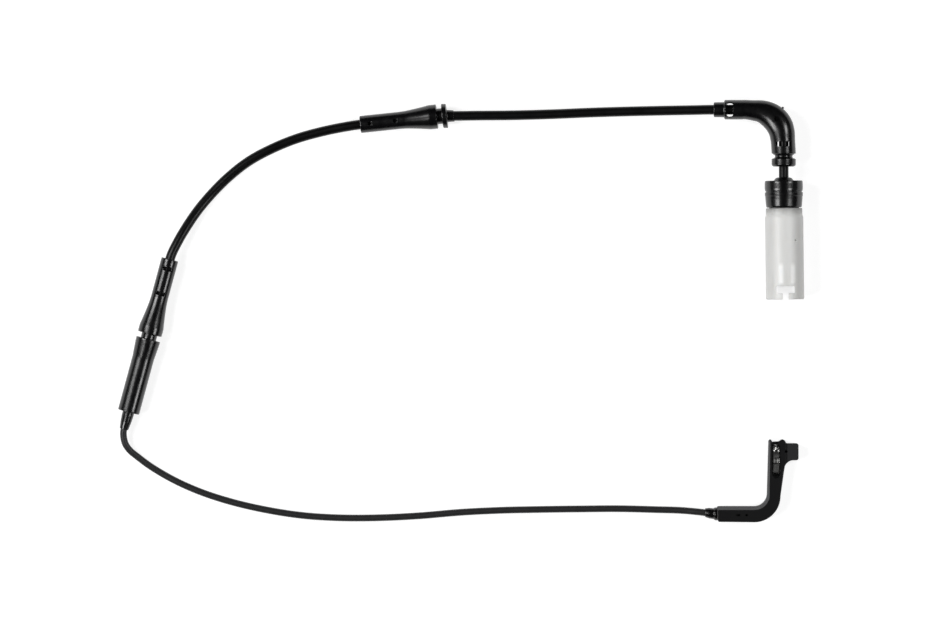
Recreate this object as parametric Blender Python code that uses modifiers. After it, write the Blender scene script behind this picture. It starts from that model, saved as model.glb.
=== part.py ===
"""Brake pad wear sensor: a two-pole plug, a cable with its rubber grommets and the wearing head.

It lies on the floor, which is Z = 0, as it came to rest. X runs to the right and Y away from
the viewer. Lengths are in metres, and every size below is given in millimetres times MM.
"""

import math

import bmesh
import bpy
from mathutils import Matrix, Vector

MM = 0.001

# Clearances
FIT = 0.3 * MM  # between two rigid pieces
GRIP = 0.15 * MM  # between rubber and the cable that it grips

# Cables and wires, as radii
CABLE_R = 1.95 * MM
THIN_R = 1.35 * MM
LEAD_R = 0.65 * MM
CORE_R = 0.45 * MM
LOOP_R = 0.4 * MM

# Plug shell. Distances along the plug are counted from its mouth. PLUG_X is at the seal's top.
PLUG_X = 129.3 * MM
PLUG_TURN = math.radians(0.68)
MOUTH_Y = 4.7 * MM
SHELL_R = 7.65 * MM
SHELL_WALL = 1.45 * MM
SHELL_LENGTH = 36.5 * MM
SHELL_NECK_DROP = 0.35 * MM
SHELL_NECK_LENGTH = 2.6 * MM
SPIGOT_R = 6.0 * MM
SPIGOT_WALL = 1.4 * MM
SPIGOT_LENGTH = 5.6 * MM
BEAD_HEIGHT = 0.35 * MM
BEAD_WIDTH = 1.0 * MM
PLUG_CLOCKING = math.radians(3.0)

# Cut-outs of the mouth, one in each side wall
WINDOW_WIDTH = 7.4 * MM
WINDOW_LENGTH = 2.7 * MM
WINDOW_FROM_MOUTH = 2.6 * MM
SLOT_WIDTH = 2.0 * MM

# Contact carrier
CARRIER_FRONT = 8.0 * MM
CARRIER_LENGTH = 22.7 * MM
CARRIER_BEAD_FROM_FRONT = 16.3 * MM
CONTACT_PITCH = 5.8 * MM
CONTACT_R = 1.6 * MM
CONTACT_BORE_R = 0.8 * MM
CONTACT_BORE_DEPTH = 8.0 * MM
CONTACT_LIP = 2.0 * MM
CONTACT_LENGTH = 18.7 * MM
CONTACT_SLOT = 0.4 * MM
CRIMP_DEPTH = 6.0 * MM
LEAD_END_SPACING = 1.8 * MM
CABLE_END_FROM_SPIGOT = 1.1 * MM

# Rear seal
SEAL_R = 7.65 * MM
SEAL_WALL_LENGTH = 5.7 * MM
SEAL_BODY_LENGTH = 10.7 * MM
SEAL_GROOVE_R = 7.25 * MM
SEAL_GROOVE_FROM_TOP = 4.1 * MM
SEAL_GROOVE_WIDTH = 0.6 * MM
SEAL_DOME_R = 3.9 * MM
SEAL_DOME_HEIGHT = 1.4 * MM

# Elbow grommet
ELBOW_GAP = 4.1 * MM
ELBOW_ROLL = math.radians(4.0)
ELBOW_BEND_R = 10.96 * MM
ELBOW_REACH = 27.95 * MM
ELBOW_DROP = 22.8 * MM
COLLAR_R = 3.0 * MM
COLLAR_LENGTH = 4.2 * MM
ELBOW_THIN_R = 3.94 * MM
ELBOW_THICK_R = 4.86 * MM
ELBOW_SWELL_R = 5.39 * MM
ELBOW_WEB = 0.69 * MM
ELBOW_GROOVE_R = 3.5 * MM
ELBOW_GROOVE_WIDTH = 2.4 * MM
ELBOW_FLANGE_LENGTH = 2.9 * MM
ELBOW_WINDOW_1 = (3.2 * MM, 6.3 * MM, 6.5 * MM)
ELBOW_WINDOW_2 = (2.2 * MM, 6.9 * MM, 9.1 * MM)
ELBOW_PIN_R = 1.0 * MM

# Sleeve form shared by the strut grommet and the upper half of the splice sleeve
SLEEVE_R = 3.45 * MM
SLEEVE_LENGTH = 16.8 * MM
CONE_LENGTH = 11.2 * MM
RIM_R = 4.9 * MM
GROOVE_FROM_END = 30.95 * MM
GROOVE_WIDTH = 2.1 * MM
GROOVE_R = 3.15 * MM
PIN_HOLES = (4.0 * MM, 14.2 * MM)

# Strut grommet
STRUT_END = Vector((-40.0 * MM, 74.72 * MM, 0.0))
STRUT_HEADING = math.radians(5.9)
FLANGE_LENGTH = 1.85 * MM
NECK_R = 2.5 * MM
NECK_LENGTH = 2.8 * MM
NECK_LEAN = 0.1
STRUT_HOLE = 1.6 * MM

# Splice sleeve
SPLICE_END = Vector((-116.1 * MM, 20.8 * MM, 0.0))
SPLICE_HEADING = math.radians(-105.2)
SPLICE_R = 4.38 * MM
SPLICE_LENGTH = 30.3 * MM
SPLICE_TAPER = 8.0 * MM
TAIL_R = 2.35 * MM
TAIL_TIP_R = 1.75 * MM
TAIL_LENGTH = 7.1 * MM
SPLICE_HOLE = 3.4 * MM
CHAMBER_R = 2.9 * MM
CHAMBER_LENGTH = 14.0 * MM
CHAMBER_FROM_GROOVE = 7.0 * MM
CORE_SPACING = 2.7 * MM
CRIMP_R = 0.95 * MM
CRIMP_LENGTH = 6.5 * MM

# Wearing head. Its own X and Y are counted from the middle of the end where the cable enters.
HEAD_X = 102.8 * MM
HEAD_Y = -81.1 * MM
HEAD_THICKNESS = 6.4 * MM
HEAD_CABLE_Z = 3.0 * MM
LEG_WIDTH = 6.3 * MM
LEG_LENGTH = 14.8 * MM
INNER_BEND_R = 5.1 * MM
OUTER_BEND_R = 10.5 * MM
UPRIGHT_LENGTH = 22.3 * MM
UPRIGHT_LEAN = 1.5 * MM
TAB_REACH = 5.7 * MM
TAB_WIDTH = 6.8 * MM
TAB_STEP = 0.6 * MM
TAB_CORNER_R = 0.9 * MM
TAB_FILLET_R = 3.7 * MM
CHANNEL_WIDTH = 3.2 * MM
CHANNEL_DEPTH = 1.5 * MM
CHANNEL_LENGTH = 14.2 * MM
TUNNEL_R = 1.4 * MM
LOOP_SPACING = 1.24 * MM
LOOP_TO_TIP = 2.3 * MM
CHAMFER = 1.5 * MM
EDGE_ROUND = 0.3 * MM
SOCKET_DEPTH = 2.8 * MM
CABLE_IN_HEAD = 6.0 * MM

# Head boot
BOOT_R = 2.15 * MM
BOOT_FLARE_R = 2.6 * MM
BOOT_TIP_R = 1.75 * MM
BOOT_LENGTH = 4.8 * MM
BOOT_SPIGOT_R = 1.9 * MM
BOOT_ROOT = 0.7 * MM
BOOT_LEAN = 0.12

# Retaining clip
CLIP_THICKNESS = 0.35 * MM

# Free route of the main cable between the elbow, the strut grommet and the splice sleeve
ROUTE_ELBOW_TO_STRUT = [
    (92.0, 80.45, 4.7),
    (80.0, 80.25, 3.5),
    (66.0, 79.95, 2.4),
    (52.0, 79.52, 1.97),
    (36.0, 78.85, 2.4),
    (20.0, 78.40, 3.6),
    (8.0, 78.28, 4.6),
]
ROUTE_STRUT_TO_SPLICE = [
    (-46.4, 73.75, 3.05),
    (-56.0, 71.75, 2.4),
    (-65.6, 69.05, 2.0),
    (-75.2, 65.15, 1.97),
    (-84.8, 59.95, 1.97),
    (-92.6, 53.85, 1.97),
    (-99.8, 46.65, 2.2),
    (-105.1, 40.25, 3.1),
    (-109.4, 33.9, 4.4),
    (-112.7, 28.3, 5.2),
]
# Free route of the thin cable between the splice sleeve and the head
ROUTE_SPLICE_TO_HEAD = [
    (-134.7, -50.2, 3.7),
    (-133.9, -53.3, 3.2),
    (-132.1, -55.8, 2.7),
    (-129.2, -58.2, 2.2),
    (-125.0, -61.4, 1.7),
    (-120.0, -64.6, 1.4),
    (-113.6, -68.1, 1.38),
    (-104.0, -72.3, 1.38),
    (-92.0, -76.2, 1.38),
    (-78.0, -79.45, 1.38),
    (-64.0, -81.65, 1.38),
    (-48.0, -82.7, 1.38),
    (-32.0, -82.65, 1.38),
    (-16.0, -81.85, 1.38),
    (0.0, -80.5, 1.38),
    (16.0, -79.7, 1.38),
    (32.0, -79.35, 1.38),
    (48.0, -79.15, 1.38),
    (64.0, -79.05, 1.38),
    (78.0, -79.4, 1.45),
    (89.0, -79.75, 2.1),
]


def clear_scene():
    for obj in list(bpy.data.objects):
        bpy.data.objects.remove(obj, do_unlink=True)


def make_collection(name):
    collection = bpy.data.collections.new(name)
    bpy.context.scene.collection.children.link(collection)
    return collection


clear_scene()
PARTS = make_collection("brake_pad_wear_sensor")
HELPERS = make_collection("helpers")


def make_material(name, colour, roughness, metallic=0.0):
    material = bpy.data.materials.new(name)
    material.use_nodes = True
    shader = material.node_tree.nodes["Principled BSDF"]
    shader.inputs["Base Color"].default_value = (*colour, 1.0)
    shader.inputs["Roughness"].default_value = roughness
    shader.inputs["Metallic"].default_value = metallic
    return material


def add_object(name, data, collection=PARTS):
    obj = bpy.data.objects.new(name, data)
    collection.objects.link(obj)
    return obj


def mesh_from(name, points, faces):
    mesh = bpy.data.meshes.new(name)
    mesh.from_pydata([tuple(point) for point in points], [], faces)
    mesh.update()
    return mesh


def frame_at(origin, along, up=Vector((0.0, 0.0, 1.0))):
    """A frame at origin whose own Z runs along and whose own Y points as near to up as it can."""
    z = Vector(along).normalized()
    y = (up - up.dot(z) * z).normalized()
    x = y.cross(z)
    rotation = Matrix((x, y, z)).transposed().to_4x4()
    return Matrix.Translation(origin) @ rotation


def evaluated_mesh(obj, name):
    graph = bpy.context.evaluated_depsgraph_get()
    graph.update()
    return bpy.data.meshes.new_from_object(obj.evaluated_get(graph))


def bake(obj):
    """Replace the object's data with the mesh that its modifiers give, and clear them."""
    mesh = evaluated_mesh(obj, obj.name)
    mesh.name = obj.name
    obj.modifiers.clear()
    obj.data = mesh


def turned(name, profile, frame, steps=40):
    """A ring or a solid turned about the frame's Z.

    profile lists (radius, height) down the outer side and, on a ring, back up the inner side.
    A solid's profile starts and ends on the axis.
    """
    ring = profile[0][0] > 0
    count = len(profile)
    edges = [(i, i + 1) for i in range(count - 1)]
    if ring:
        edges.append((count - 1, 0))
    mesh = bpy.data.meshes.new(name)
    mesh.from_pydata([(r, 0.0, z) for r, z in profile], edges, [])
    obj = add_object(name, mesh)
    screw = obj.modifiers.new("turn", "SCREW")
    screw.axis = "Z"
    screw.angle = 2 * math.pi
    screw.steps = steps
    screw.render_steps = steps
    screw.use_merge_vertices = True
    screw.merge_threshold = 0.00001
    screw.use_normal_calculate = False
    bake(obj)
    obj.matrix_world = frame
    return obj


def box(name, size, frame):
    """A box centred on the frame."""
    bm = bmesh.new()
    bmesh.ops.create_cube(bm, size=1.0)
    bmesh.ops.scale(bm, vec=size, verts=bm.verts)
    mesh = bpy.data.meshes.new(name)
    bm.to_mesh(mesh)
    bm.free()
    obj = add_object(name, mesh, HELPERS)
    obj.matrix_world = frame
    return obj


def rod(name, radius, length, frame, steps=24):
    """A cylinder centred on the frame, along its Z."""
    bm = bmesh.new()
    bmesh.ops.create_cone(
        bm, cap_ends=True, segments=steps, radius1=radius, radius2=radius, depth=length
    )
    mesh = bpy.data.meshes.new(name)
    bm.to_mesh(mesh)
    bm.free()
    obj = add_object(name, mesh, HELPERS)
    obj.matrix_world = frame
    return obj


def tube(name, points, radius, resolution=2, collection=PARTS):
    """A round tube along the points, with flat ends, as a mesh in world space."""
    curve = bpy.data.curves.new(name, "CURVE")
    curve.dimensions = "3D"
    curve.bevel_depth = radius
    curve.bevel_resolution = resolution
    curve.use_fill_caps = True
    spline = curve.splines.new("POLY")
    spline.points.add(len(points) - 1)
    for place, point in zip(spline.points, points):
        place.co = (*point, 1.0)
    guide = add_object(name + "_guide", curve, HELPERS)
    mesh = evaluated_mesh(guide, name)
    bpy.data.objects.remove(guide, do_unlink=True)
    bm = bmesh.new()
    bm.from_mesh(mesh)
    bmesh.ops.remove_doubles(bm, verts=bm.verts, dist=0.000001)
    bmesh.ops.recalc_face_normals(bm, faces=bm.faces)
    bm.to_mesh(mesh)
    bm.free()
    mesh.name = name
    return add_object(name, mesh, collection)


def prism(name, outline, low, high, frame=None):
    """The outline, counter-clockwise seen from above, drawn up from low to high."""
    count = len(outline)
    points = [(x, y, low) for x, y in outline] + [(x, y, high) for x, y in outline]
    faces = [list(range(count))[::-1], list(range(count, 2 * count))]
    for i in range(count):
        j = (i + 1) % count
        faces.append([i, j, count + j, count + i])
    obj = add_object(name, mesh_from(name, points, faces), HELPERS)
    if frame is not None:
        obj.matrix_world = frame
    return obj


def combine(obj, others, operation="DIFFERENCE"):
    """Cut the others from the object, or join them to it, then remove them."""
    for other in others:
        step = obj.modifiers.new(other.name, "BOOLEAN")
        step.operation = operation
        step.solver = "EXACT"
        step.object = other
    bake(obj)
    for other in others:
        bpy.data.objects.remove(other, do_unlink=True)
    return obj


def finish(obj, material, sharp=30.0):
    mesh = obj.data
    mesh.materials.clear()
    mesh.materials.append(material)
    mesh.shade_smooth()
    mesh.set_sharp_from_angle(angle=math.radians(sharp))
    return obj


def smooth_path(points, headings, reach, turn=math.radians(9.0)):
    """A smooth curve through the points, sampled more closely where it turns.

    headings gives the direction at chosen points, by index. Elsewhere it follows the neighbours.
    """
    chords = [points[i + 1] - points[i] for i in range(len(points) - 1)]
    lengths = [chord.length for chord in chords]
    tangents = []
    for i in range(len(points)):
        if i in headings:
            tangents.append(headings[i].normalized())
        elif i == 0:
            tangents.append(chords[0].normalized())
        elif i == len(points) - 1:
            tangents.append(chords[-1].normalized())
        else:
            before, after = lengths[i - 1], lengths[i]
            mixed = chords[i - 1] * (after / before) + chords[i] * (before / after)
            tangents.append(mixed.normalized())
    path = [points[0]]
    for i, length in enumerate(lengths):
        bend = tangents[i].angle(tangents[i + 1])
        count = max(1, math.ceil(length / reach), math.ceil(bend / turn))
        for k in range(1, count + 1):
            t = k / count
            path.append(
                points[i] * (2 * t**3 - 3 * t**2 + 1)
                + tangents[i] * length * (t**3 - 2 * t**2 + t)
                + points[i + 1] * (3 * t**2 - 2 * t**3)
                + tangents[i + 1] * length * (t**3 - t**2)
            )
    return path


def in_mm(route):
    return [Vector(point) * MM for point in route]


def lying_frame(end, heading, first, second):
    """The frame of a turned body that lies on two rims, each given as (distance, radius)."""
    tilt = math.atan2(second[1] - first[1], second[0] - first[0])
    height = first[1] * math.cos(tilt) - first[0] * math.sin(tilt)
    along = Vector(
        (
            math.cos(heading) * math.cos(tilt),
            math.sin(heading) * math.cos(tilt),
            math.sin(tilt),
        )
    )
    return frame_at(Vector((end.x, end.y, height)), along)


# Materials
NYLON = make_material("natural_nylon", (0.80, 0.79, 0.75), 0.38)
CARRIER_PLASTIC = make_material("carrier_plastic", (0.72, 0.71, 0.67), 0.5)
RUBBER = make_material("black_rubber", (0.012, 0.012, 0.013), 0.4)
SHEATH = make_material("cable_sheath", (0.014, 0.014, 0.015), 0.35)
THIN_SHEATH = make_material("thin_cable_sheath", (0.03, 0.03, 0.032), 0.45)
HEAD_PLASTIC = make_material("head_plastic", (0.02, 0.02, 0.021), 0.5)
TINNED = make_material("tinned_bronze", (0.75, 0.72, 0.66), 0.3, 1.0)
SPRING_STEEL = make_material("spring_steel", (0.68, 0.68, 0.67), 0.28, 1.0)
LEAD_1 = make_material("lead_insulation_brown", (0.16, 0.07, 0.03), 0.5)
LEAD_2 = make_material("lead_insulation_grey", (0.3, 0.31, 0.32), 0.5)
COPPER = make_material("copper", (0.72, 0.35, 0.2), 0.35, 1.0)


# Distances and radii of the plug that follow from the sizes above
SHELL_BORE_R = SHELL_R - SHELL_WALL
SPIGOT_BORE_R = SPIGOT_R - SPIGOT_WALL
CARRIER_R = SHELL_BORE_R - FIT
CARRIER_BACK = CARRIER_FRONT + CARRIER_LENGTH
SHOULDER = CARRIER_BACK + FIT
SPIGOT_END = SHELL_LENGTH + SPIGOT_LENGTH
SHELL_BEAD = SHELL_LENGTH + SPIGOT_LENGTH * 0.62
CARRIER_BEAD = CARRIER_FRONT + CARRIER_BEAD_FROM_FRONT
CABLE_END = SPIGOT_END - CABLE_END_FROM_SPIGOT
SEAL_START = SHELL_LENGTH + FIT
SEAL_TOP = SEAL_START + SEAL_BODY_LENGTH
SEAL_FLOOR = SPIGOT_END + FIT
SEAL_END = SEAL_TOP + SEAL_DOME_HEIGHT

# Plug frame: its own Z runs from the mouth to the cable, and the cut-outs lie on its own Y.
PLUG = frame_at(
    Vector((PLUG_X + SEAL_TOP * math.sin(PLUG_TURN), MOUTH_Y, SHELL_R)),
    Vector((-math.sin(PLUG_TURN), math.cos(PLUG_TURN), 0.0)),
    Vector((math.sin(PLUG_CLOCKING), 0.0, math.cos(PLUG_CLOCKING))),
)


def make_connector_shell():
    """Injection moulded, open at the mouth, with a spigot that the rear seal snaps over."""
    neck_r = SHELL_R - SHELL_NECK_DROP
    soft = 0.3 * MM
    profile = [
        (SPIGOT_R - soft, SPIGOT_END),
        (SPIGOT_R, SPIGOT_END - soft),
        (SPIGOT_R, SHELL_BEAD + BEAD_WIDTH / 2 + BEAD_HEIGHT),
        (SPIGOT_R + BEAD_HEIGHT, SHELL_BEAD + BEAD_WIDTH / 2),
        (SPIGOT_R + BEAD_HEIGHT, SHELL_BEAD - BEAD_WIDTH / 2),
        (SPIGOT_R, SHELL_BEAD - BEAD_WIDTH / 2 - BEAD_HEIGHT),
        (SPIGOT_R, SHELL_LENGTH),
        (neck_r - soft, SHELL_LENGTH),
        (neck_r, SHELL_LENGTH - soft),
        (neck_r, SHELL_LENGTH - SHELL_NECK_LENGTH),
        (SHELL_R, SHELL_LENGTH - SHELL_NECK_LENGTH - 1.2 * MM),
        (SHELL_R, soft),
        (SHELL_R - soft, 0.0),
        (SHELL_BORE_R + soft, 0.0),
        (SHELL_BORE_R, soft),
        (SHELL_BORE_R, CARRIER_BEAD - FIT),
        (SHELL_BORE_R + FIT, CARRIER_BEAD),
        (SHELL_BORE_R + FIT, CARRIER_BEAD + BEAD_WIDTH),
        (SHELL_BORE_R, CARRIER_BEAD + BEAD_WIDTH + FIT),
        (SHELL_BORE_R, SHOULDER),
        (SPIGOT_BORE_R, SHOULDER),
        (SPIGOT_BORE_R, SPIGOT_END),
    ]
    shell = turned("connector_shell", profile, PLUG, 40)
    across = 4 * SHELL_R
    window_middle = WINDOW_FROM_MOUTH + WINDOW_LENGTH / 2
    window = box(
        "window",
        (WINDOW_WIDTH, across, WINDOW_LENGTH),
        PLUG @ Matrix.Translation((0.0, 0.0, window_middle)),
    )
    slot_length = WINDOW_FROM_MOUTH + WINDOW_LENGTH / 2
    slot = box(
        "slot",
        (SLOT_WIDTH, across, 2 * slot_length),
        PLUG @ Matrix.Translation((0.0, 0.0, 0.0)),
    )
    return finish(combine(shell, [window, slot]), NYLON)


def make_contact_carrier():
    """The insert that holds both contacts, with a bead that snaps into the shell's groove."""
    soft = 0.3 * MM
    profile = [
        (0.0, CARRIER_BACK),
        (CARRIER_R - soft, CARRIER_BACK),
        (CARRIER_R, CARRIER_BACK - soft),
        (CARRIER_R, CARRIER_BEAD + BEAD_WIDTH + FIT / 2),
        (CARRIER_R + FIT, CARRIER_BEAD + BEAD_WIDTH - FIT / 2),
        (CARRIER_R + FIT, CARRIER_BEAD + FIT / 2),
        (CARRIER_R, CARRIER_BEAD - FIT / 2),
        (CARRIER_R, CARRIER_FRONT + 2 * soft),
        (CARRIER_R - 2 * soft, CARRIER_FRONT),
        (0.0, CARRIER_FRONT),
    ]
    carrier = turned("contact_carrier", profile, PLUG, 32)
    cutters = []
    seat = CARRIER_FRONT + CONTACT_LIP
    for side in (-1, 1):
        x = side * CONTACT_PITCH / 2
        middle = (seat + CARRIER_BACK + 2 * MM) / 2
        cutters.append(
            rod(
                "cavity",
                CONTACT_R + FIT,
                CARRIER_BACK + 2 * MM - seat,
                PLUG @ Matrix.Translation((x, 0.0, middle)),
                20,
            )
        )
        cutters.append(
            rod(
                "entry",
                CONTACT_BORE_R + FIT,
                4 * CONTACT_LIP,
                PLUG @ Matrix.Translation((x, 0.0, CARRIER_FRONT)),
                20,
            )
        )
    return finish(combine(carrier, cutters), CARRIER_PLASTIC)


def make_socket_contact(number, side):
    """A turned socket with two spring tines and a barrel crimped on its lead."""
    front = CARRIER_FRONT + CONTACT_LIP + FIT
    back = front + CONTACT_LENGTH
    waist = CONTACT_R - 0.3 * MM
    barrel = LEAD_R + 0.25 * MM
    profile = [
        (barrel, back),
        (waist, back),
        (waist, back - CRIMP_DEPTH),
        (CONTACT_R, back - CRIMP_DEPTH - 0.4 * MM),
        (CONTACT_R, front + 0.4 * MM),
        (waist, front),
        (CONTACT_BORE_R, front),
        (CONTACT_BORE_R, front + CONTACT_BORE_DEPTH),
        (0.0, front + CONTACT_BORE_DEPTH),
        (0.0, back - CRIMP_DEPTH),
        (barrel, back - CRIMP_DEPTH),
    ]
    solid = [(0.0, back)] + profile[1:6] + [(0.0, front)]
    frame = PLUG @ Matrix.Translation((side * CONTACT_PITCH / 2, 0.0, 0.0))
    contact = turned(f"socket_contact_{number}", solid, frame, 20)
    bore = rod(
        "bore",
        CONTACT_BORE_R,
        2 * CONTACT_BORE_DEPTH,
        frame @ Matrix.Translation((0.0, 0.0, front)),
        16,
    )
    crimp = rod(
        "crimp",
        barrel,
        2 * CRIMP_DEPTH,
        frame @ Matrix.Translation((0.0, 0.0, back)),
        16,
    )
    tines = box(
        "tines",
        (4 * CONTACT_R, CONTACT_SLOT, 1.6 * CONTACT_BORE_DEPTH),
        frame @ Matrix.Translation((0.0, 0.0, front)),
    )
    return finish(combine(contact, [bore, crimp, tines]), TINNED)


def make_contact_lead(number, side, material):
    """One insulated core, from its crimp to the end of the cable's sheath."""
    back = CARRIER_FRONT + CONTACT_LIP + FIT + CONTACT_LENGTH
    wide = side * CONTACT_PITCH / 2
    near = side * LEAD_END_SPACING / 2
    ahead = Vector((0.0, 0.0, 1.0))
    points = [
        Vector((wide, 0.0, back - CRIMP_DEPTH + FIT)),
        Vector((wide, 0.0, back + 0.6 * MM)),
        Vector((near, 0.0, CABLE_END - 1.6 * MM)),
        Vector((near, 0.0, CABLE_END - FIT)),
    ]
    path = smooth_path(points, {i: ahead for i in range(4)}, 6 * MM)
    path = [PLUG @ point for point in path]
    return finish(tube(f"contact_lead_{number}", path, LEAD_R, 1), material)


def make_rear_seal():
    """Rubber boot over the spigot, closed on the cable, with two ribs and a low dome."""
    soft = 0.4 * MM
    groove_top = SEAL_TOP - SEAL_GROOVE_FROM_TOP
    groove_low = groove_top - SEAL_GROOVE_WIDTH
    band_low = groove_low - 1.5 * MM
    bore = CABLE_R + GRIP
    room = SPIGOT_R + FIT
    bead_room = room + BEAD_HEIGHT
    bead_half = BEAD_WIDTH / 2 + FIT
    profile = [
        (bore + 0.2 * MM, SEAL_END),
        (SEAL_DOME_R - 0.5 * MM, SEAL_END - 0.5 * MM),
        (SEAL_DOME_R, SEAL_TOP + 0.1 * MM),
        (SEAL_DOME_R + 0.3 * MM, SEAL_TOP),
        (SEAL_R - soft, SEAL_TOP),
        (SEAL_R, SEAL_TOP - soft),
        (SEAL_R, groove_top + soft),
        (SEAL_R - soft / 2, groove_top),
        (SEAL_GROOVE_R, groove_top - 0.1 * MM),
        (SEAL_GROOVE_R, groove_low + 0.1 * MM),
        (SEAL_R - soft / 2, groove_low),
        (SEAL_R, groove_low - soft),
        (SEAL_R, band_low + soft / 2),
        (SEAL_R - 0.13 * MM, band_low),
        (SEAL_R - 0.28 * MM, SEAL_START + 2 * soft),
        (SEAL_R - 0.6 * MM, SEAL_START),
        (room + 0.1 * MM, SEAL_START),
        (room, SEAL_START + 0.2 * MM),
        (room, SHELL_BEAD - bead_half - BEAD_HEIGHT),
        (bead_room, SHELL_BEAD - bead_half),
        (bead_room, SHELL_BEAD + bead_half),
        (room, SHELL_BEAD + bead_half + BEAD_HEIGHT),
        (room, SEAL_FLOOR),
        (bore, SEAL_FLOOR),
        (bore, SEAL_END - 0.2 * MM),
    ]
    return finish(turned("rear_seal", profile, PLUG, 36), RUBBER)


# Elbow: a flat bend about the plug's axis, rolled so that its cable end hangs a little lower.
ELBOW_FOOT = MOUTH_Y + SEAL_END + ELBOW_GAP
ELBOW_LEG_Y = ELBOW_FOOT + ELBOW_DROP
ELBOW = Matrix.Translation((PLUG_X, 0.0, SHELL_R)) @ Matrix.Rotation(-ELBOW_ROLL, 4, "Y")


def elbow_line(distance):
    """The elbow's centre line, by the distance from its collar. Gives (point, direction)."""
    leg = ELBOW_REACH - ELBOW_BEND_R
    bend = ELBOW_BEND_R * math.pi / 2
    if distance <= leg:
        return Vector((distance - ELBOW_REACH, ELBOW_LEG_Y, 0.0)), Vector((1.0, 0.0, 0.0))
    if distance <= leg + bend:
        angle = (distance - leg) / ELBOW_BEND_R
        x = -ELBOW_BEND_R + ELBOW_BEND_R * math.sin(angle)
        y = ELBOW_LEG_Y - ELBOW_BEND_R + ELBOW_BEND_R * math.cos(angle)
        return Vector((x, y, 0.0)), Vector((math.cos(angle), -math.sin(angle), 0.0))
    rest = distance - leg - bend
    return Vector((0.0, ELBOW_LEG_Y - ELBOW_BEND_R - rest, 0.0)), Vector((0.0, -1.0, 0.0))


def elbow_length():
    return ELBOW_REACH - ELBOW_BEND_R + ELBOW_BEND_R * math.pi / 2 + ELBOW_DROP - ELBOW_BEND_R


def elbow_stations():
    """From collar to flange: (distance, half width in the bend's plane, half height, web).

    web is how far the section lies towards the inside of the bend.
    """
    leg = ELBOW_REACH - ELBOW_BEND_R
    bend = ELBOW_BEND_R * math.pi / 2
    total = elbow_length()
    thin, thick, web = ELBOW_THIN_R, ELBOW_THICK_R, ELBOW_WEB
    more, rise = ELBOW_SWELL_R - thin, thick - thin
    groove = total - ELBOW_FLANGE_LENGTH - ELBOW_GROOVE_WIDTH / 2
    half = ELBOW_GROOVE_WIDTH / 2
    stations = [
        (leg - 4.0 * MM, thin, thin, 0.0),
        (leg, thin + 0.235 * more, thin + 0.1 * MM, 0.68 * web),
        (leg + bend * 0.25, thin + 0.683 * more, thin + 0.3 * rise, web),
        (leg + bend * 0.375, thin + 0.855 * more, thin + 0.45 * rise, web),
        (leg + bend * 0.5, thin + 0.972 * more, thin + 0.6 * rise, 0.96 * web),
        (leg + bend * 0.625, thin + more, thin + 0.72 * rise, 0.9 * web),
        (leg + bend * 0.75, thin + 0.972 * more, thin + 0.82 * rise, 0.87 * web),
        (leg + bend * 0.875, thin + 0.862 * more, thin + 0.9 * rise, 0.84 * web),
        (leg + bend, thick + 0.18 * MM, thick - 0.08 * MM, 0.72 * web),
        (leg + bend + 2.4 * MM, thick + 0.02 * MM, thick - 0.03 * MM, 0.36 * web),
        (groove - half - 0.2 * MM, thick, thick, 0.0),
    ]
    collar = [
        (0.0, COLLAR_R - 0.3 * MM),
        (0.3 * MM, COLLAR_R),
        (COLLAR_LENGTH - 0.4 * MM, COLLAR_R + 0.05 * MM),
        (COLLAR_LENGTH, COLLAR_R + 0.35 * MM),
        (COLLAR_LENGTH + 0.2 * MM, thin - 0.3 * MM),
        (COLLAR_LENGTH + 0.6 * MM, thin),
    ]
    foot = [
        (groove - half, thick - 0.15 * MM),
        (groove - 0.35 * MM, ELBOW_GROOVE_R + 0.1 * MM),
        (groove, ELBOW_GROOVE_R),
        (groove + 0.35 * MM, ELBOW_GROOVE_R + 0.1 * MM),
        (groove + half, thick - 0.15 * MM),
        (groove + half + 0.2 * MM, thick),
        (total - 1.0 * MM, thick),
        (total - 0.5 * MM, thick - 0.25 * MM),
        (total - 0.12 * MM, thick - 0.75 * MM),
        (total, thick - 1.15 * MM),
    ]
    round_ends = [[(d, r, r, 0.0) for d, r in part] for part in (collar, foot)]
    return round_ends[0] + stations + round_ends[1]


def elbow_cutter_frame(distance):
    """Own X along the cable, own Y across it in the bend's plane, own Z through the elbow."""
    point, heading = elbow_line(distance)
    side = Vector((0.0, 0.0, 1.0)).cross(heading)
    turn = Matrix((heading, side, Vector((0.0, 0.0, 1.0)))).transposed().to_4x4()
    return ELBOW @ Matrix.Translation(point) @ turn


def oval(length, width, steps=20):
    return [
        (
            length / 2 * math.cos(2 * math.pi * k / steps),
            width / 2 * math.sin(2 * math.pi * k / steps),
        )
        for k in range(steps)
    ]


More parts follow.
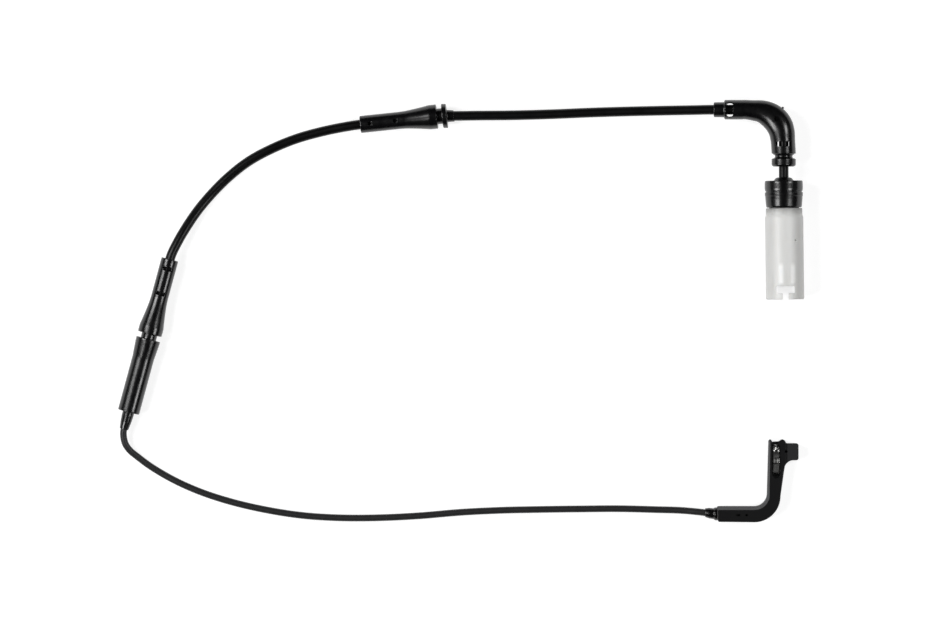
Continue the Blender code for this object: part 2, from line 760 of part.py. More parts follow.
def make_elbow_grommet():
    """Rubber bend moulded round the cable, swelling through the bend, with core pin windows."""
    steps = 24
    points, faces = [], []
    stations = elbow_stations()
    up = Vector((0.0, 0.0, 1.0))
    for distance, wide, high, web in stations:
        middle, heading = elbow_line(distance)
        side = up.cross(heading)
        middle = middle - side * web
        for k in range(steps):
            angle = 2 * math.pi * k / steps
            points.append(middle + side * wide * math.cos(angle) + up * high * math.sin(angle))
    for row in range(len(stations) - 1):
        for k in range(steps):
            a = row * steps + k
            b = row * steps + (k + 1) % steps
            faces.append([a, b, b + steps, a + steps])
    faces.append(list(range(steps))[::-1])
    last = (len(stations) - 1) * steps
    faces.append(list(range(last, last + steps)))
    elbow = add_object("elbow_grommet", mesh_from("elbow_grommet", points, faces))
    elbow.matrix_world = ELBOW

    total = elbow_length()
    leg = ELBOW_REACH - ELBOW_BEND_R
    bend = ELBOW_BEND_R * math.pi / 2
    marks = [-1.5 * MM] + [leg + bend * k / 12 for k in range(13)] + [total + 1.5 * MM]
    line = []
    for mark in marks:
        point, heading = elbow_line(min(max(mark, 0.0), total))
        if mark < 0 or mark > total:
            point = point + heading * (mark if mark < 0 else mark - total)
        line.append(ELBOW @ point)
    bore = tube("bore", line, CABLE_R + GRIP, 2, HELPERS)
    cutters = [bore]
    tall = 4 * ELBOW_THICK_R
    length, width, place = ELBOW_WINDOW_1
    cutters.append(
        prism("window_1", oval(length, width), -tall / 2, tall / 2, elbow_cutter_frame(place))
    )
    length, width, place = ELBOW_WINDOW_2
    frame = elbow_cutter_frame(total - place)
    cutters.append(prism("window_2", oval(length, width), -tall / 2, tall / 2, frame))
    middle = ELBOW_REACH - ELBOW_BEND_R + ELBOW_BEND_R * math.pi * 0.27
    cutters.append(rod("pin", ELBOW_PIN_R, tall, elbow_cutter_frame(middle), 16))
    return finish(combine(elbow, cutters), RUBBER)


# Grommets that lie on two of their rims
STRUT_FLANGE_END = GROOVE_FROM_END + GROOVE_WIDTH + FLANGE_LENGTH
STRUT = lying_frame(
    STRUT_END,
    STRUT_HEADING,
    (0.5 * MM, SLEEVE_R),
    (SLEEVE_LENGTH + CONE_LENGTH, RIM_R),
)
SPLICE_BACK = GROOVE_FROM_END + GROOVE_WIDTH + SPLICE_LENGTH
SPLICE = lying_frame(
    SPLICE_END,
    SPLICE_HEADING,
    (GROOVE_FROM_END + GROOVE_WIDTH + 0.8 * MM, RIM_R),
    (SPLICE_BACK - 0.3 * MM, SPLICE_R),
)
CHAMBER_START = GROOVE_FROM_END + GROOVE_WIDTH + CHAMBER_FROM_GROOVE
CHAMBER_END = CHAMBER_START + CHAMBER_LENGTH


def sleeve_profile():
    """The outer side from the groove's floor up to the thin end, as (radius, distance)."""
    cone_end = SLEEVE_LENGTH + CONE_LENGTH
    return [
        (GROOVE_R, GROOVE_FROM_END),
        (RIM_R - 0.15 * MM, GROOVE_FROM_END),
        (RIM_R, GROOVE_FROM_END - 0.2 * MM),
        (RIM_R, cone_end),
        (SLEEVE_R + 0.93 * (RIM_R - SLEEVE_R), cone_end - 0.12 * CONE_LENGTH),
        (SLEEVE_R + 0.42 * (RIM_R - SLEEVE_R), SLEEVE_LENGTH + 0.4 * CONE_LENGTH),
        (SLEEVE_R + 0.08 * (RIM_R - SLEEVE_R), SLEEVE_LENGTH + 0.1 * CONE_LENGTH),
        (SLEEVE_R, SLEEVE_LENGTH - 1.0 * MM),
        (SLEEVE_R, 0.5 * MM),
        (SLEEVE_R - 0.35 * MM, 0.0),
    ]


def lean(obj, start, slope, way):
    """Tilts the end of a turned body beyond start, along its own X. way is 1 or -1 along own Z."""
    for vertex in obj.data.vertices:
        beyond = (vertex.co.z - start) * way
        if beyond > 0:
            vertex.co.x += slope * beyond
    return obj


def make_strut_grommet():
    """Rubber sleeve that snaps into a bracket: long nose, deep groove and one thin flange."""
    neck_end = STRUT_FLANGE_END + NECK_LENGTH
    groove_end = GROOVE_FROM_END + GROOVE_WIDTH
    bore = CABLE_R + GRIP
    profile = [
        (NECK_R - 0.25 * MM, neck_end),
        (NECK_R - 0.15 * MM, neck_end - 0.4 * MM),
        (NECK_R, STRUT_FLANGE_END + 0.4 * MM),
        (NECK_R + 0.2 * MM, STRUT_FLANGE_END),
        (RIM_R - 0.2 * MM, STRUT_FLANGE_END),
        (RIM_R, STRUT_FLANGE_END - 0.2 * MM),
        (RIM_R, groove_end + 0.2 * MM),
        (RIM_R - 0.2 * MM, groove_end),
        (GROOVE_R, groove_end),
        *sleeve_profile(),
        (bore, 0.0),
        (bore, groove_end),
        (bore, neck_end),
    ]
    sleeve = lean(turned("strut_grommet", profile, STRUT, 24), groove_end, -NECK_LEAN, 1)
    across = 4 * RIM_R
    cutters = [
        box(
            "pin_hole",
            (STRUT_HOLE, across, STRUT_HOLE),
            STRUT @ Matrix.Translation((0.0, 0.0, place)),
        )
        for place in PIN_HOLES
    ]
    return finish(combine(sleeve, cutters), RUBBER)


def make_splice_sleeve():
    """The same nose and groove, continued as the long sleeve that covers both splices."""
    groove_end = GROOVE_FROM_END + GROOVE_WIDTH
    tail_end = SPLICE_BACK + TAIL_LENGTH
    bore, thin_bore = CABLE_R + GRIP, THIN_R + GRIP
    profile = [
        (TAIL_TIP_R, tail_end),
        (TAIL_TIP_R + 0.1 * MM, tail_end - 0.8 * MM),
        (TAIL_R - 0.25 * MM, SPLICE_BACK + 0.55 * TAIL_LENGTH),
        (TAIL_R, SPLICE_BACK + 0.25 * TAIL_LENGTH),
        (TAIL_R, SPLICE_BACK),
        (SPLICE_R - 0.3 * MM, SPLICE_BACK),
        (SPLICE_R, SPLICE_BACK - 0.3 * MM),
        (SPLICE_R, groove_end + SPLICE_TAPER),
        (SPLICE_R + 0.15 * (RIM_R - SPLICE_R), groove_end + 0.7 * SPLICE_TAPER),
        (SPLICE_R + 0.75 * (RIM_R - SPLICE_R), groove_end + 0.35 * SPLICE_TAPER),
        (RIM_R, groove_end + 0.8 * MM),
        (RIM_R, groove_end + 0.2 * MM),
        (RIM_R - 0.2 * MM, groove_end),
        (GROOVE_R, groove_end),
        *sleeve_profile(),
        (bore, 0.0),
        (bore, CHAMBER_START),
        (CHAMBER_R, CHAMBER_START),
        (CHAMBER_R, CHAMBER_END),
        (thin_bore, CHAMBER_END),
        (thin_bore, tail_end),
    ]
    sleeve = turned("splice_sleeve", profile, SPLICE, 24)
    across = 4 * RIM_R
    cutters = [
        box(
            "pin_slot",
            (SPLICE_HOLE, across, STRUT_HOLE),
            SPLICE @ Matrix.Translation((0.0, 0.0, place)),
        )
        for place in PIN_HOLES
    ]
    return finish(combine(sleeve, cutters), RUBBER)


def make_splice_core(number, side):
    """One bare core that bridges the ends of both cables inside the splice sleeve."""
    wide = side * CORE_SPACING / 2
    near = side * (THIN_R - CORE_R - 0.1 * MM)
    first = CHAMBER_START + FIT
    last = CHAMBER_END - FIT
    ahead = Vector((0.0, 0.0, 1.0))
    points = [
        Vector((wide, 0.0, first)),
        Vector((wide, 0.0, last - 3.2 * MM)),
        Vector((near, 0.0, last - 0.6 * MM)),
        Vector((near, 0.0, last)),
    ]
    path = smooth_path(points, {i: ahead for i in range(4)}, 8 * MM)
    path = [SPLICE @ point for point in path]
    return finish(tube(f"splice_core_{number}", path, CORE_R, 1), COPPER)


def make_splice_crimp(number, side):
    """The crimped sleeve that joins one pair of cores."""
    start = CHAMBER_START + 1.5 * MM
    end = start + CRIMP_LENGTH
    bore = CORE_R + GRIP
    profile = [
        (CRIMP_R - 0.1 * MM, end),
        (CRIMP_R, end - 0.1 * MM),
        (CRIMP_R, end - 0.3 * CRIMP_LENGTH),
        (CRIMP_R - 0.15 * MM, end - 0.4 * CRIMP_LENGTH),
        (CRIMP_R - 0.15 * MM, start + 0.4 * CRIMP_LENGTH),
        (CRIMP_R, start + 0.3 * CRIMP_LENGTH),
        (CRIMP_R, start + 0.1 * MM),
        (CRIMP_R - 0.1 * MM, start),
        (bore, start),
        (bore, end),
    ]
    frame = SPLICE @ Matrix.Translation((side * CORE_SPACING / 2, 0.0, 0.0))
    return finish(turned(f"splice_crimp_{number}", profile, frame, 16), TINNED)


def make_main_cable():
    """From the plug through the elbow and the strut grommet into the splice sleeve."""
    plug_end = PLUG @ Vector((0.0, 0.0, CABLE_END))
    total = elbow_length()
    points = [plug_end]
    headings = {0: PLUG.to_3x3() @ Vector((0.0, 0.0, 1.0))}
    steps = 12
    leg = ELBOW_REACH - ELBOW_BEND_R
    bend = ELBOW_BEND_R * math.pi / 2
    marks = [total, leg + bend]
    marks += [leg + bend * (1 - k / steps) for k in range(1, steps + 1)]
    marks += [0.0]
    roll = ELBOW.to_3x3()
    for mark in marks:
        point, heading = elbow_line(mark)
        headings[len(points)] = roll @ -heading
        points.append(ELBOW @ point)
    points += in_mm(ROUTE_ELBOW_TO_STRUT)
    groove_end = GROOVE_FROM_END + GROOVE_WIDTH
    neck_end = STRUT_FLANGE_END + NECK_LENGTH
    way = STRUT.to_3x3()
    for distance, slope in (
        (neck_end, NECK_LEAN),
        (groove_end, NECK_LEAN / 2),
        (groove_end - 3 * MM, 0.0),
        (0.0, 0.0),
    ):
        aside = -NECK_LEAN * max(0.0, distance - groove_end)
        headings[len(points)] = way @ Vector((slope, 0.0, -1.0))
        points.append(STRUT @ Vector((aside, 0.0, distance)))
    points += in_mm(ROUTE_STRUT_TO_SPLICE)
    onward = SPLICE.to_3x3() @ Vector((0.0, 0.0, 1.0))
    for distance in (0.0, CHAMBER_START):
        headings[len(points)] = onward
        points.append(SPLICE @ Vector((0.0, 0.0, distance)))
    path = smooth_path(points, headings, 10 * MM)
    return finish(tube("main_cable", path, CABLE_R, 2), SHEATH)


def make_thin_cable():
    """From the splices out through the sleeve's tail to the head."""
    onward = SPLICE.to_3x3() @ Vector((0.0, 0.0, 1.0))
    points, headings = [], {}
    for distance in (CHAMBER_END, SPLICE_BACK + TAIL_LENGTH):
        headings[len(points)] = onward
        points.append(SPLICE @ Vector((0.0, 0.0, distance)))
    points += in_mm(ROUTE_SPLICE_TO_HEAD)
    for distance, slope in (
        (-BOOT_LENGTH, BOOT_LEAN),
        (-BOOT_ROOT, BOOT_LEAN / 2),
        (CABLE_IN_HEAD, 0.0),
    ):
        aside = BOOT_LEAN * max(0.0, -BOOT_ROOT - distance)
        headings[len(points)] = Vector((1.0, -slope, 0.0))
        points.append(Vector((HEAD_X + distance, HEAD_Y + aside, HEAD_CABLE_Z)))
    path = smooth_path(points, headings, 8 * MM)
    return finish(tube("thin_cable", path, THIN_R, 2), THIN_SHEATH)


# Head outline. BEND_* are the two centres of the bend, and the upright leans a little outwards.
HALF_LEG = LEG_WIDTH / 2
BEND_INNER_Y = HALF_LEG + INNER_BEND_R
BEND_OUTER_Y = OUTER_BEND_R - HALF_LEG - 0.15 * MM
UPRIGHT_LEFT = LEG_LENGTH + INNER_BEND_R
UPRIGHT_RIGHT = LEG_LENGTH + OUTER_BEND_R
UPRIGHT_FOOT = BEND_OUTER_Y
UPRIGHT_TOP = UPRIGHT_FOOT + UPRIGHT_LENGTH
SHOULDER_RIGHT = UPRIGHT_RIGHT + UPRIGHT_LEAN
TAB_TOP = UPRIGHT_TOP - 1.2 * MM
TAB_LOW = TAB_TOP - TAB_WIDTH
TAB_END = SHOULDER_RIGHT + TAB_REACH
TAB_MIDDLE = (TAB_TOP + TAB_LOW) / 2
CHANNEL_X = (UPRIGHT_LEFT + 0.5 * MM + SHOULDER_RIGHT - 0.1 * MM) / 2
CHANNEL_FLOOR = HEAD_THICKNESS - CHANNEL_DEPTH
CHANNEL_LOW = UPRIGHT_TOP - CHANNEL_LENGTH - 1.0 * MM
HEAD = Matrix.Translation((HEAD_X, HEAD_Y, 0.0))


def arc(centre_x, centre_y, radius, start, end, steps):
    return [
        (
            centre_x + radius * math.cos(math.radians(start + (end - start) * k / steps)),
            centre_y + radius * math.sin(math.radians(start + (end - start) * k / steps)),
        )
        for k in range(steps + 1)
    ]


def head_outline():
    """Counter-clockwise from the lower left corner."""
    corner = 0.9 * MM
    fillet = TAB_FILLET_R
    trough = UPRIGHT_TOP - 1.3 * MM
    left = UPRIGHT_LEFT + 0.6 * MM
    gap_left = CHANNEL_X - CHANNEL_WIDTH / 2
    gap_right = gap_left + 0.8 * CHANNEL_WIDTH
    outline = [(0.0, -HALF_LEG + corner), (corner * 0.7, -HALF_LEG)]
    outline += arc(LEG_LENGTH, BEND_OUTER_Y, OUTER_BEND_R, -90, 0, 10)
    outline += [(SHOULDER_RIGHT, TAB_LOW - fillet)]
    outline += arc(SHOULDER_RIGHT + fillet, TAB_LOW - fillet, fillet, 157.5, 90, 3)
    far = TAB_END - TAB_CORNER_R
    outline += arc(far, TAB_LOW + TAB_CORNER_R, TAB_CORNER_R, -90, 0, 3)
    outline += arc(far, TAB_TOP - TAB_CORNER_R, TAB_CORNER_R, 0, 90, 3)
    outline += [
        (SHOULDER_RIGHT + 0.9 * MM, TAB_TOP),
        (SHOULDER_RIGHT + 0.1 * MM, UPRIGHT_TOP - 0.3 * MM),
        (SHOULDER_RIGHT - 0.6 * MM, UPRIGHT_TOP),
        (SHOULDER_RIGHT - 1.3 * MM, UPRIGHT_TOP - 0.2 * MM),
        (gap_right, trough),
        (gap_left, trough),
        (gap_left - 0.3 * MM, UPRIGHT_TOP - 0.4 * MM),
        (left + 0.6 * MM, UPRIGHT_TOP),
        (left, UPRIGHT_TOP - 0.6 * MM),
    ]
    outline += arc(LEG_LENGTH, BEND_INNER_Y, INNER_BEND_R, 0, -90, 7)
    outline += [(0.4 * MM, HALF_LEG), (0.0, HALF_LEG - 0.3 * MM)]
    return outline


def tunnel_line(z):
    """Centre line of the wires' passage from the cable's end to the tip, at height z."""
    radius = (INNER_BEND_R + OUTER_BEND_R) / 2
    low = (BEND_INNER_Y - INNER_BEND_R + BEND_OUTER_Y - OUTER_BEND_R) / 2
    line = [(CABLE_IN_HEAD + FIT, 0.0), (LEG_LENGTH, low)]
    line += arc(LEG_LENGTH, low + radius, radius, -75, 0, 5)
    turn = 2.2 * MM
    line += [(CHANNEL_X - 0.2 * MM, TAB_MIDDLE - turn - 4.0 * MM)]
    line += [(CHANNEL_X, TAB_MIDDLE - turn - 0.5 * MM)]
    line += arc(CHANNEL_X + turn, TAB_MIDDLE - turn, turn, 180, 90, 5)
    line += [(TAB_END - LOOP_TO_TIP, TAB_MIDDLE)]
    return [Vector((x, y, z)) for x, y in line]


def inset(outline, amount):
    """The counter-clockwise outline moved inwards by amount, with mitred corners."""
    moved = []
    for i, (x, y) in enumerate(outline):
        before = Vector(outline[i]) - Vector(outline[i - 1])
        after = Vector(outline[(i + 1) % len(outline)]) - Vector(outline[i])
        first = Vector((-before.y, before.x)).normalized()
        second = Vector((-after.y, after.x)).normalized()
        shift = (first + second) * (amount / (1 + first.dot(second)))
        moved.append((x + shift.x, y + shift.y))
    return moved


def layered(name, layers, collection):
    """A solid through outlines of equal length, given as (outline, height) from low to high."""
    count = len(layers[0][0])
    points = [(x, y, z) for outline, z in layers for x, y in outline]
    faces = [list(range(count))[::-1]]
    for row in range(len(layers) - 1):
        for i in range(count):
            j = (i + 1) % count
            low, high = row * count, (row + 1) * count
            faces.append([low + i, low + j, high + j, high + i])
    faces.append([len(points) - count + i for i in range(count)])
    return add_object(name, mesh_from(name, points, faces), collection)


def chamfer_cutter():
    """A wedge swept along the inner top edge, wide on the leg and narrow up the side."""
    route = [((-2.0 * MM, HALF_LEG), 90.0, 1.0)]
    bend = arc(LEG_LENGTH, BEND_INNER_Y, INNER_BEND_R, -90, 0, 7)
    for k, point in enumerate(bend):
        route.append((point, 90.0 + 90.0 * k / 7, 1.0))
    left = UPRIGHT_LEFT + 0.6 * MM
    low = UPRIGHT_TOP - 0.6 * MM - BEND_INNER_Y
    route.append(((UPRIGHT_LEFT + 0.6 * MM * 0.15, BEND_INNER_Y + 0.15 * low), 180.0, 0.65))
    route.append(((left, UPRIGHT_TOP - 0.6 * MM), 180.0, 0.6))
    spare = 0.5
    points, faces = [], []
    for (x, y), outward, share in route:
        width = CHAMFER * share
        out = Vector((math.cos(math.radians(outward)), math.sin(math.radians(outward)), 0.0))
        edge = Vector((x, y, HEAD_THICKNESS))
        over = width * spare
        points.append(edge - out * (width + over) + Vector((0.0, 0.0, over)))
        points.append(edge + out * over - Vector((0.0, 0.0, width + over)))
        points.append(edge + out * over + Vector((0.0, 0.0, over)))
    for row in range(len(route) - 1):
        for k in range(3):
            a = row * 3 + k
            b = row * 3 + (k + 1) % 3
            faces.append([a, b, b + 3, a + 3])
    faces.append([2, 1, 0])
    last = (len(route) - 1) * 3
    faces.append([last, last + 1, last + 2])
    mesh = mesh_from("inner_chamfer", points, faces)
    bm = bmesh.new()
    bm.from_mesh(mesh)
    bmesh.ops.recalc_face_normals(bm, faces=bm.faces)
    bm.to_mesh(mesh)
    bm.free()
    return add_object("inner_chamfer", mesh, HELPERS)


def make_sensor_head():
    """Moulded L whose tab is worn away by the disc. The wires run through it to the tip."""
    outline = head_outline()
    soft = EDGE_ROUND
    layers = [
        (inset(outline, 0.5 * soft), 0.0),
        (outline, 0.5 * soft),
        (outline, HEAD_THICKNESS - soft),
        (inset(outline, 0.3 * soft), HEAD_THICKNESS - 0.3 * soft),
        (inset(outline, soft), HEAD_THICKNESS),
    ]
    head = layered("sensor_head", layers, PARTS)
    combine(head, [chamfer_cutter()])

    up = 2 * HEAD_THICKNESS
    cutters = []
    low_end = CHANNEL_LOW + CHANNEL_WIDTH / 2
    channel = arc(CHANNEL_X, low_end, CHANNEL_WIDTH / 2, 180, 360, 6)
    inside_top = UPRIGHT_TOP - 2.4 * MM
    channel += [
        (CHANNEL_X + CHANNEL_WIDTH / 2, inside_top),
        (CHANNEL_X + 0.3 * CHANNEL_WIDTH, inside_top + 0.4 * MM),
        (CHANNEL_X + 0.3 * CHANNEL_WIDTH, UPRIGHT_TOP + MM),
        (CHANNEL_X - CHANNEL_WIDTH / 2, UPRIGHT_TOP + MM),
    ]
    cutters.append(prism("channel", channel, CHANNEL_FLOOR, up))
    wide = CHANNEL_WIDTH / 2 - 0.06 * MM
    pocket = [
        (CHANNEL_X - wide, CHANNEL_LOW + 0.9 * MM),
        (CHANNEL_X + wide, CHANNEL_LOW + 0.9 * MM),
        (CHANNEL_X + wide, CHANNEL_LOW + 2.2 * MM),
        (CHANNEL_X + wide - 0.2 * MM, CHANNEL_LOW + 2.5 * MM),
        (CHANNEL_X - wide + 0.2 * MM, CHANNEL_LOW + 2.5 * MM),
        (CHANNEL_X - wide, CHANNEL_LOW + 2.2 * MM),
    ]
    cutters.append(prism("pocket", pocket, HEAD_CABLE_Z, up))
    tab_cut = [
        (SHOULDER_RIGHT + 0.7 * MM, TAB_LOW - 4.0 * MM),
        (TAB_END + MM, TAB_LOW - 4.0 * MM),
        (TAB_END + MM, TAB_TOP + MM),
        (SHOULDER_RIGHT + 0.7 * MM, TAB_TOP + MM),
    ]
    cutters.append(prism("tab_top", tab_cut, HEAD_THICKNESS - TAB_STEP, up))
    cutters.append(prism("tab_under", tab_cut, -MM, TAB_STEP))
    tunnel = tunnel_line(HEAD_CABLE_Z)
    tunnel[-1].x += FIT + LOOP_R
    cutters.append(tube("tunnel", tunnel, TUNNEL_R, 2, HELPERS))
    side_on = Vector((1.0, 0.0, 0.0))
    cutters.append(
        rod(
            "cable_bore",
            THIN_R + FIT,
            2 * CABLE_IN_HEAD + 2 * FIT + 2 * MM,
            frame_at(Vector((0.0, 0.0, HEAD_CABLE_Z)), side_on)
            @ Matrix.Translation((0.0, 0.0, -MM)),
            20,
        )
    )
    cutters.append(
        rod(
            "socket",
            BOOT_SPIGOT_R + FIT,
            2 * SOCKET_DEPTH,
            frame_at(Vector((0.0, 0.0, HEAD_CABLE_Z)), side_on),
            20,
        )
    )
    pin = Matrix.Translation((SHOULDER_RIGHT + 0.75 * MM, TAB_MIDDLE + 0.1 * MM, up / 2 + 3 * MM))
    cutters.append(rod("pin_hole", 0.6 * MM, up, pin, 12))
    for x, half in ((8.5 * MM, 0.7 * MM), (11.8 * MM, 0.35 * MM)):
        pit = [
            (x - half, -1.0 * MM),
            (x + half, -1.0 * MM),
            (x + half, -0.2 * MM),
            (x - half, -0.2 * MM),
        ]
        cutters.append(prism("pit", pit, HEAD_THICKNESS - 0.6 * MM, up))
    combine(head, cutters)
    head.matrix_world = HEAD
    return finish(head, HEAD_PLASTIC)


def make_wear_loop():
    """One insulated wire to the tip and back. The disc cuts it when the pad is worn out."""
    high = HEAD_CABLE_Z + LOOP_SPACING / 2
    low = HEAD_CABLE_Z - LOOP_SPACING / 2
    there = tunnel_line(high)
    back = tunnel_line(low)[::-1]
    tip = TAB_END - LOOP_TO_TIP
    radius = LOOP_SPACING / 2
    there[-1].x -= radius
    back[0].x -= radius
    turn = [
        Vector(
            (
                tip - radius + radius * math.sin(math.radians(a)),
                TAB_MIDDLE,
                HEAD_CABLE_Z + radius * math.cos(math.radians(a)),
            )
        )
        for a in (30, 60, 90, 120, 150)
    ]
    path = [HEAD @ point for point in there + turn + back]
    return finish(tube("wear_loop", path, LOOP_R, 1), COPPER)


def make_head_boot():
    """Rubber bend relief that plugs into the head and grips the thin cable."""
    bore = THIN_R + GRIP
    inside = SOCKET_DEPTH - FIT
    profile = [
        (BOOT_SPIGOT_R - 0.2 * MM, inside),
        (BOOT_SPIGOT_R, inside - 0.2 * MM),
        (BOOT_SPIGOT_R, -FIT),
        (BOOT_FLARE_R, -FIT),
        (BOOT_FLARE_R, -BOOT_ROOT),
        (BOOT_R, -1.5 * MM),
        (BOOT_R, -BOOT_LENGTH + 1.6 * MM),
        (BOOT_TIP_R, -BOOT_LENGTH + 0.2 * MM),
        (BOOT_TIP_R - 0.1 * MM, -BOOT_LENGTH),
        (bore, -BOOT_LENGTH),
        (bore, -BOOT_ROOT),
        (bore, inside),
    ]
    frame = frame_at(Vector((HEAD_X, HEAD_Y, HEAD_CABLE_Z)), Vector((1.0, 0.0, 0.0)))
    boot = lean(turned("head_boot", profile, frame, 20), -BOOT_ROOT, BOOT_LEAN, -1)
    return finish(boot, RUBBER)


def make_retaining_clip():
    """Spring leaf that lies in the head's channel and snaps behind the pad's back plate."""
    lift = CHANNEL_FLOOR + FIT + CLIP_THICKNESS / 2
    crest = HEAD_THICKNESS - 0.1 * MM
    shape = [
        (CHANNEL_LOW + 1.3 * MM, CHANNEL_FLOOR - 0.5 * MM),
        (CHANNEL_LOW + 1.8 * MM, CHANNEL_FLOOR + 0.1 * MM),
        (CHANNEL_LOW + 2.4 * MM, lift),
        (CHANNEL_LOW + 4.4 * MM, lift),
        (CHANNEL_LOW + 4.8 * MM, lift + 0.3 * MM),
        (CHANNEL_LOW + 7.6 * MM, lift + 0.3 * MM),
        (CHANNEL_LOW + 8.1 * MM, lift),
        (CHANNEL_LOW + 9.2 * MM, lift + 0.1 * MM),
        (CHANNEL_LOW + 10.4 * MM, crest - 0.3 * MM),
        (CHANNEL_LOW + 11.3 * MM, crest),
        (CHANNEL_LOW + 12.2 * MM, crest - 0.25 * MM),
        (CHANNEL_LOW + 13.0 * MM, lift + 0.1 * MM),
    ]
    half = CHANNEL_WIDTH / 2 - FIT
    narrow = 0.3 * CHANNEL_WIDTH - FIT
    points = []
    for y, z in shape:
        points.append((CHANNEL_X - half, y, z))
        points.append((CHANNEL_X + (half if y < CHANNEL_LOW + 12.5 * MM else narrow), y, z))
    faces = [[2 * i, 2 * i + 1, 2 * i + 3, 2 * i + 2] for i in range(len(shape) - 1)]
    clip = add_object("retaining_clip", mesh_from("retaining_clip", points, faces))
    solidify = clip.modifiers.new("sheet", "SOLIDIFY")
    solidify.thickness = CLIP_THICKNESS
    solidify.offset = 0.0
    bake(clip)
    clip.matrix_world = HEAD
    return finish(clip, SPRING_STEEL, 60.0)


make_connector_shell()
make_contact_carrier()
make_socket_contact(1, -1)
make_socket_contact(2, 1)
make_contact_lead(1, -1, LEAD_1)
make_contact_lead(2, 1, LEAD_2)
make_rear_seal()
make_main_cable()
make_elbow_grommet()
make_strut_grommet()
make_splice_sleeve()
make_splice_core(1, -1)
make_splice_core(2, 1)
make_splice_crimp(1, -1)
make_splice_crimp(2, 1)
make_thin_cable()
make_head_boot()
make_sensor_head()
make_retaining_clip()
make_wear_loop()
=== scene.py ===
import math

import bmesh
import bpy
from mathutils import Matrix, Vector


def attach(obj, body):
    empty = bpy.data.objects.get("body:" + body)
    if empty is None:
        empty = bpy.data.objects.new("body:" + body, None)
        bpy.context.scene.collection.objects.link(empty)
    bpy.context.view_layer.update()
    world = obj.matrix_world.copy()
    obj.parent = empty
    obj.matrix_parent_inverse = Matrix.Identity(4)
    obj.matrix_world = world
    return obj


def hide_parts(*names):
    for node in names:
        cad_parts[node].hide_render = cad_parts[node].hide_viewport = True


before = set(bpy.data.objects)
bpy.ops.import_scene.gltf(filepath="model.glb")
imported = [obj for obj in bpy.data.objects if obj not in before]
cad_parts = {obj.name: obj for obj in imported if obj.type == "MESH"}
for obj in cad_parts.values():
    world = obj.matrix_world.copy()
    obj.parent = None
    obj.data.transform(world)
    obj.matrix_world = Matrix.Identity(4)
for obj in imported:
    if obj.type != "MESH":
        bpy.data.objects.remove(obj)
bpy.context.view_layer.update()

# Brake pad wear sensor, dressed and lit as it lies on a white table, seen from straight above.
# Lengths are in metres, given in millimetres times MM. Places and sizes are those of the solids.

MM = 0.001

# Camera and studio. SENSOR_WIDTH is in millimetres, as Blender takes it.
CAMERA_HEIGHT = 4.0
VIEW_X = 3.7 * MM
VIEW_Y = -1.5 * MM
VIEW_WIDTH = 375.6 * MM
VIEW_LEVEL = 5.0 * MM
SENSOR_WIDTH = 36.0
LAMP_DISTANCE = 1.6
TABLE_HALF = 4.0
TABLE_GAP = 0.02 * MM
TABLE_REFLECTANCE = 0.42
TABLE_LIFT = 0.78

# How finely meshes are drawn, and how far a cutter reaches past its piece
FACE_LENGTH = 0.6 * MM
CABLE_STEP = 0.8 * MM
CUT_PAST = 20.0 * MM

# Cables, as radii
CABLE_R = 1.95 * MM
THIN_R = 1.35 * MM
GRIP = 0.15 * MM

# Plug and rear seal, counted from the mouth. PLUG_X is at the seal's top.
PLUG_X = 129.3 * MM
PLUG_TURN = math.radians(0.68)
MOUTH_Y = 4.7 * MM
SHELL_R = 7.65 * MM
SHELL_BORE_R = 6.2 * MM
SHELL_LENGTH = 36.5 * MM
SHELL_NECK_DROP = 0.35 * MM
SHELL_NECK_LENGTH = 2.6 * MM
SPIGOT_R = 6.0 * MM
SPIGOT_BORE_R = 4.6 * MM
SPIGOT_END = 42.1 * MM
SHOULDER = 31.0 * MM
PLUG_CLOCKING = math.radians(3.0)
WINDOW_WIDTH = 7.4 * MM
WINDOW_LENGTH = 2.7 * MM
WINDOW_FROM_MOUTH = 2.6 * MM
SLOT_WIDTH = 2.0 * MM
GATE_TURN = math.radians(31.0)
GATE_FROM_MOUTH = 23.6 * MM
GATE_R = 0.45 * MM
CABLE_END = 41.0 * MM
# Two bands of painted light on the shell: lighter stripes along it near the mouth
PAINTED_LIGHT_APART = 4.8 * MM
PAINTED_LIGHT_MIDDLE = 0.55 * MM
PAINTED_LIGHT_START = 5.9 * MM
PAINTED_LIGHT_END = 15.0 * MM
SEAL_R = 7.65 * MM
SEAL_START = 36.8 * MM
SEAL_TOP = 47.5 * MM
SEAL_END = 48.9 * MM
SEAL_FLOOR = 42.4 * MM
SEAL_GROOVE_R = 7.25 * MM
SEAL_DOME_R = 3.9 * MM
SEAL_RIB_CONE = 0.14 * MM

# Elbow
ELBOW_LEG_Y = 80.6 * MM
ELBOW_ROLL = math.radians(4.0)
ELBOW_BEND_R = 10.96 * MM
ELBOW_REACH = 27.95 * MM
ELBOW_DROP = 22.8 * MM
COLLAR_R = 3.0 * MM
COLLAR_LENGTH = 4.2 * MM
ELBOW_THIN_R = 3.94 * MM
ELBOW_THICK_R = 4.86 * MM
ELBOW_SWELL_R = 5.39 * MM
ELBOW_WEB = 0.69 * MM
ELBOW_GROOVE_R = 3.5 * MM
ELBOW_GROOVE_WIDTH = 2.4 * MM
ELBOW_FLANGE_LENGTH = 2.9 * MM
ELBOW_PIN_R = 1.0 * MM

# The elbow's windows, from the collar's end and from the flange's, then its centre line
COLLAR_WINDOW = 6.4 * MM
FLANGE_WINDOW = 9.1 * MM
ELBOW_LEG = ELBOW_REACH - ELBOW_BEND_R
ELBOW_BEND = ELBOW_BEND_R * math.pi / 2
ELBOW_LENGTH = ELBOW_LEG + ELBOW_BEND + ELBOW_DROP - ELBOW_BEND_R

